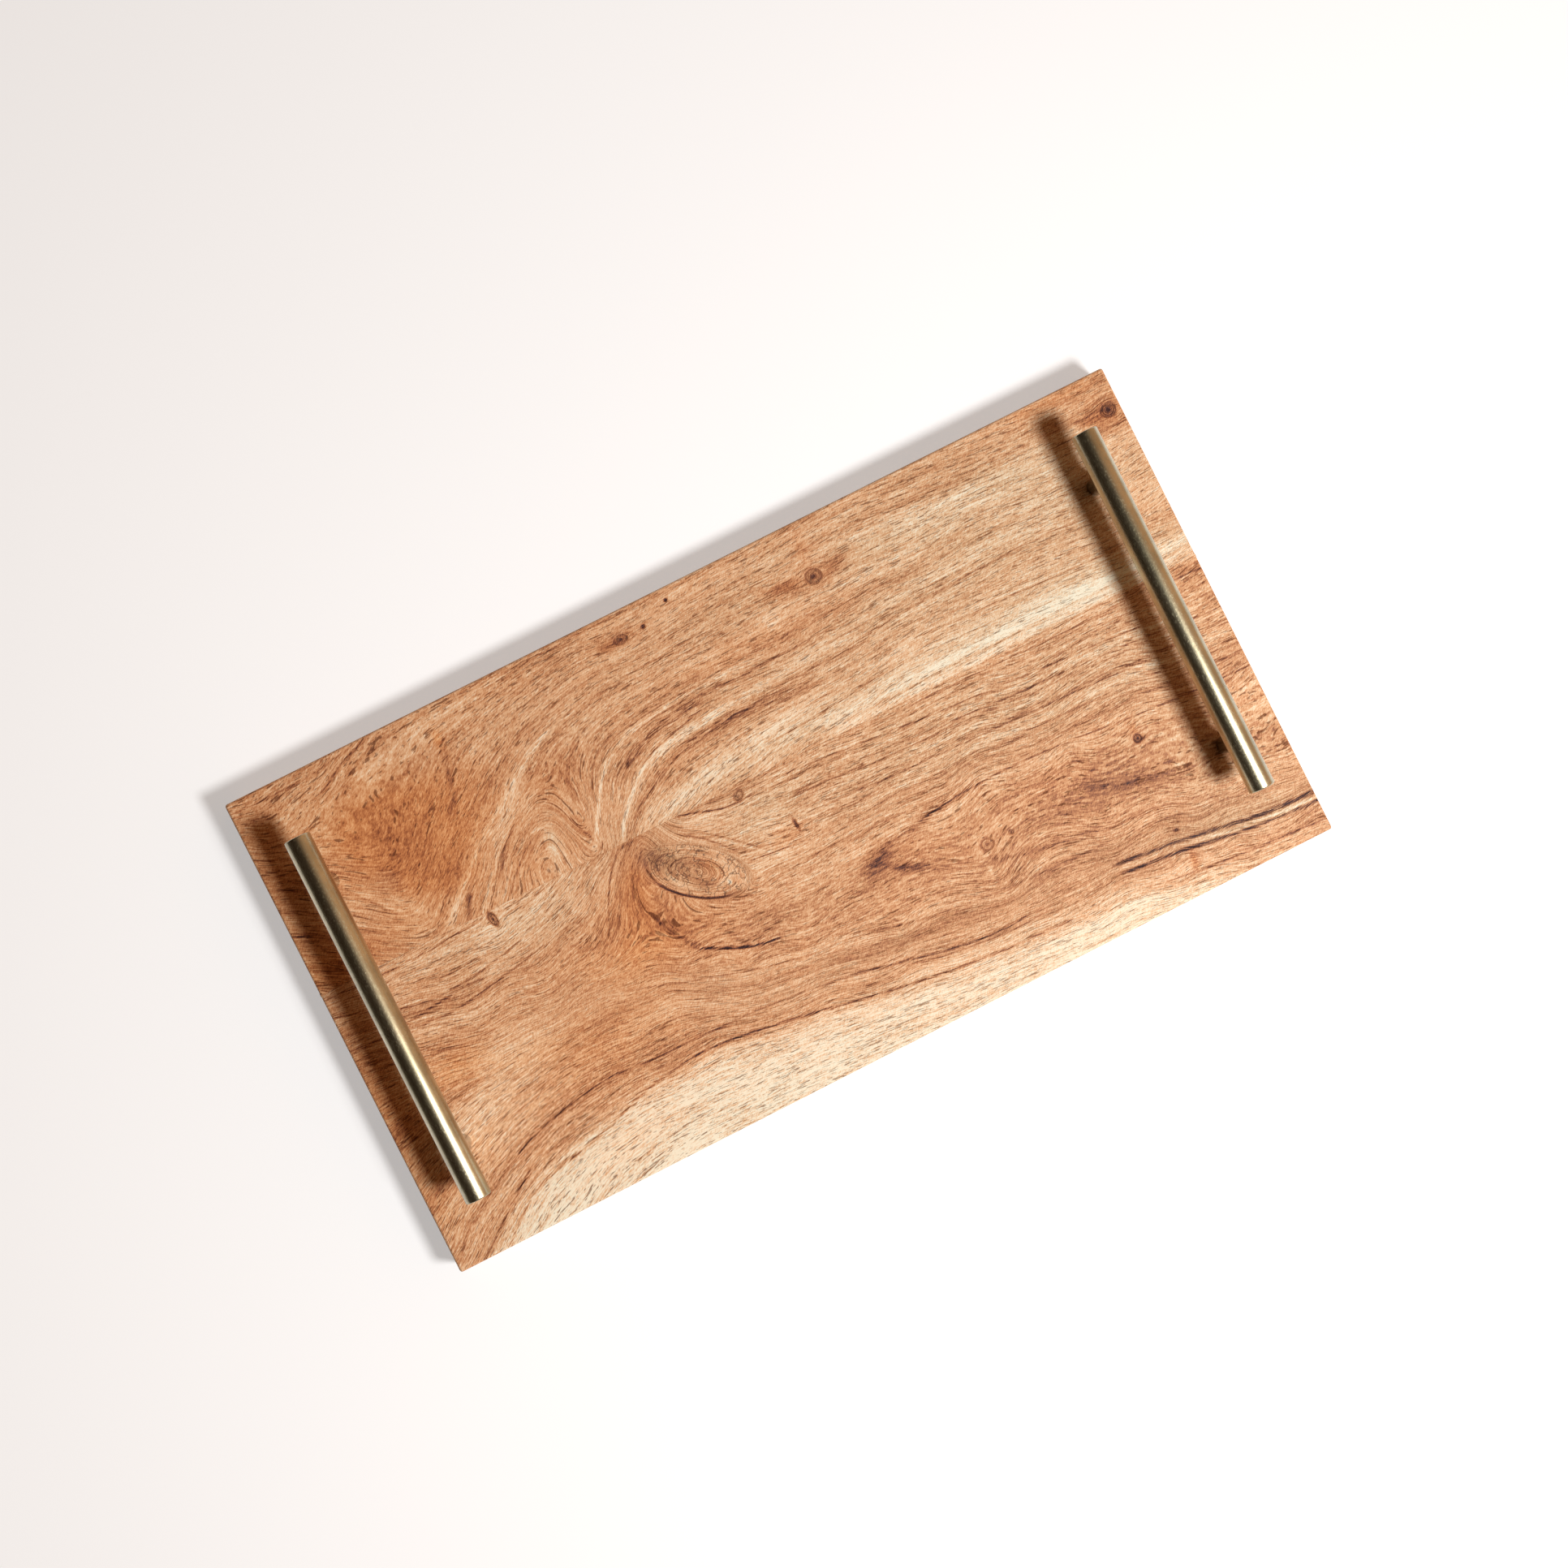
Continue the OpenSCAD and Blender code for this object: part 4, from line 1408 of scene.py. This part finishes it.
def model_screw(corner):
    low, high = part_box(f"{corner}_screw")
    centre = middle(f"{corner}_screw")
    head_radius = (high.x - low.x) / 2
    head_top = low.z + HEAD_HEIGHT
    screw = add_upright(f"{corner}_pan_screw", head_radius, centre, low.z, head_top, HEAD_SIDES)
    shape = edit(screw)
    pick(screw, shape, shape.faces, lambda face: face.normal.z > 0.9)
    bpy.ops.mesh.inset(thickness=head_radius - THREAD_RADIUS, use_even_offset=False)
    bpy.ops.mesh.extrude_region_move(TRANSFORM_OT_translate={"value": (0, 0, high.z - head_top)})
    finish_edit()
    cut_thread(screw, centre, THREAD_RADIUS, head_top, high.z)
    bevel_where(screw, rim_at(high.z), THREAD_CHAMFER, 1)
    bevel_where(screw, rim_at(low.z), HEAD_RIM, 6)
    for turn in (0, math.pi / 2):
        cut(screw, add_recess_arm(centre, low.z, turn))
    return screw


def model_stud(corner):
    low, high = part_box(f"{corner}_stud")
    centre = middle(f"{corner}_stud")
    stud = add_upright(f"{corner}_threaded_stud", THREAD_RADIUS, centre, low.z, high.z, SHANK_SIDES)
    cut_thread(stud, centre, THREAD_RADIUS, low.z, high.z)
    bevel_where(stud, rim_at(low.z, high.z), THREAD_CHAMFER, 1)
    corner_radius = SOCKET_FLATS / 2 / math.cos(math.radians(30))
    cut(stud, add_upright("cutter", corner_radius, centre, low.z - OVERRUN, low.z + SOCKET_DEPTH, 6))
    return stud


# %% [markdown]
# The washer is stamped: its edges are rolled over a little. The foot is a moulded rubber dot, tapered
# towards the table with a rounded rim.

# %% Model the washer and the foot
WASHER_BORE = 2.15 * MM
WASHER_ROLL = 0.12 * MM
FOOT_TAPER = 0.5 * MM
FOOT_RIM = 0.7 * MM
RIM_STEPS = 6


def model_washer(corner):
    low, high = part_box(f"{corner}_washer")
    centre = middle(f"{corner}_washer")
    radius = (high.x - low.x) / 2
    washer = add_upright(f"{corner}_flat_washer", radius, centre, low.z, high.z, HEAD_SIDES)
    bevel_where(washer, rim_at(low.z, high.z), WASHER_ROLL, 2)
    bore_up(washer, centre, WASHER_BORE, low.z - OVERRUN, high.z + OVERRUN)
    return washer


def model_foot(corner):
    low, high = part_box(f"{corner}_foot")
    centre = middle(f"{corner}_foot")
    radius = (high.x - low.x) / 2
    bpy.ops.object.select_all(action="DESELECT")
    bpy.ops.mesh.primitive_cone_add(
        vertices=HEAD_SIDES, radius1=radius - FOOT_TAPER, radius2=radius, depth=high.z - low.z,
        location=centre,
    )
    foot = start_piece(f"{corner}_rubber_dot")
    bevel_where(foot, rim_at(low.z), FOOT_RIM, RIM_STEPS)
    return foot


# %% Copy the small pieces to every corner
SMALL_PIECE_SMOOTHING = 35
SMALL_PIECES = [
    ("screw", model_screw, "pan_screw", "zinc_steel", zinc_steel),
    ("stud", model_stud, "threaded_stud", "zinc_steel", zinc_steel),
    ("washer", model_washer, "flat_washer", "zinc_steel", zinc_steel),
    ("foot", model_foot, "rubber_dot", "rubber", rubber),
]
for node, model, label, slot, material in SMALL_PIECES:
    first = model(CORNERS[0])
    smooth(first, SMALL_PIECE_SMOOTHING)
    for corner in CORNERS[1:]:
        shift = middle(f"{corner}_{node}") - middle(f"{CORNERS[0]}_{node}")
        hand_over(copy_piece(first, f"{corner}_{label}", shift), f"{corner}_{node}", material)
    hand_over(first, f"{CORNERS[0]}_{node}", material)
    print(label, "faces:", len(first.data.polygons))
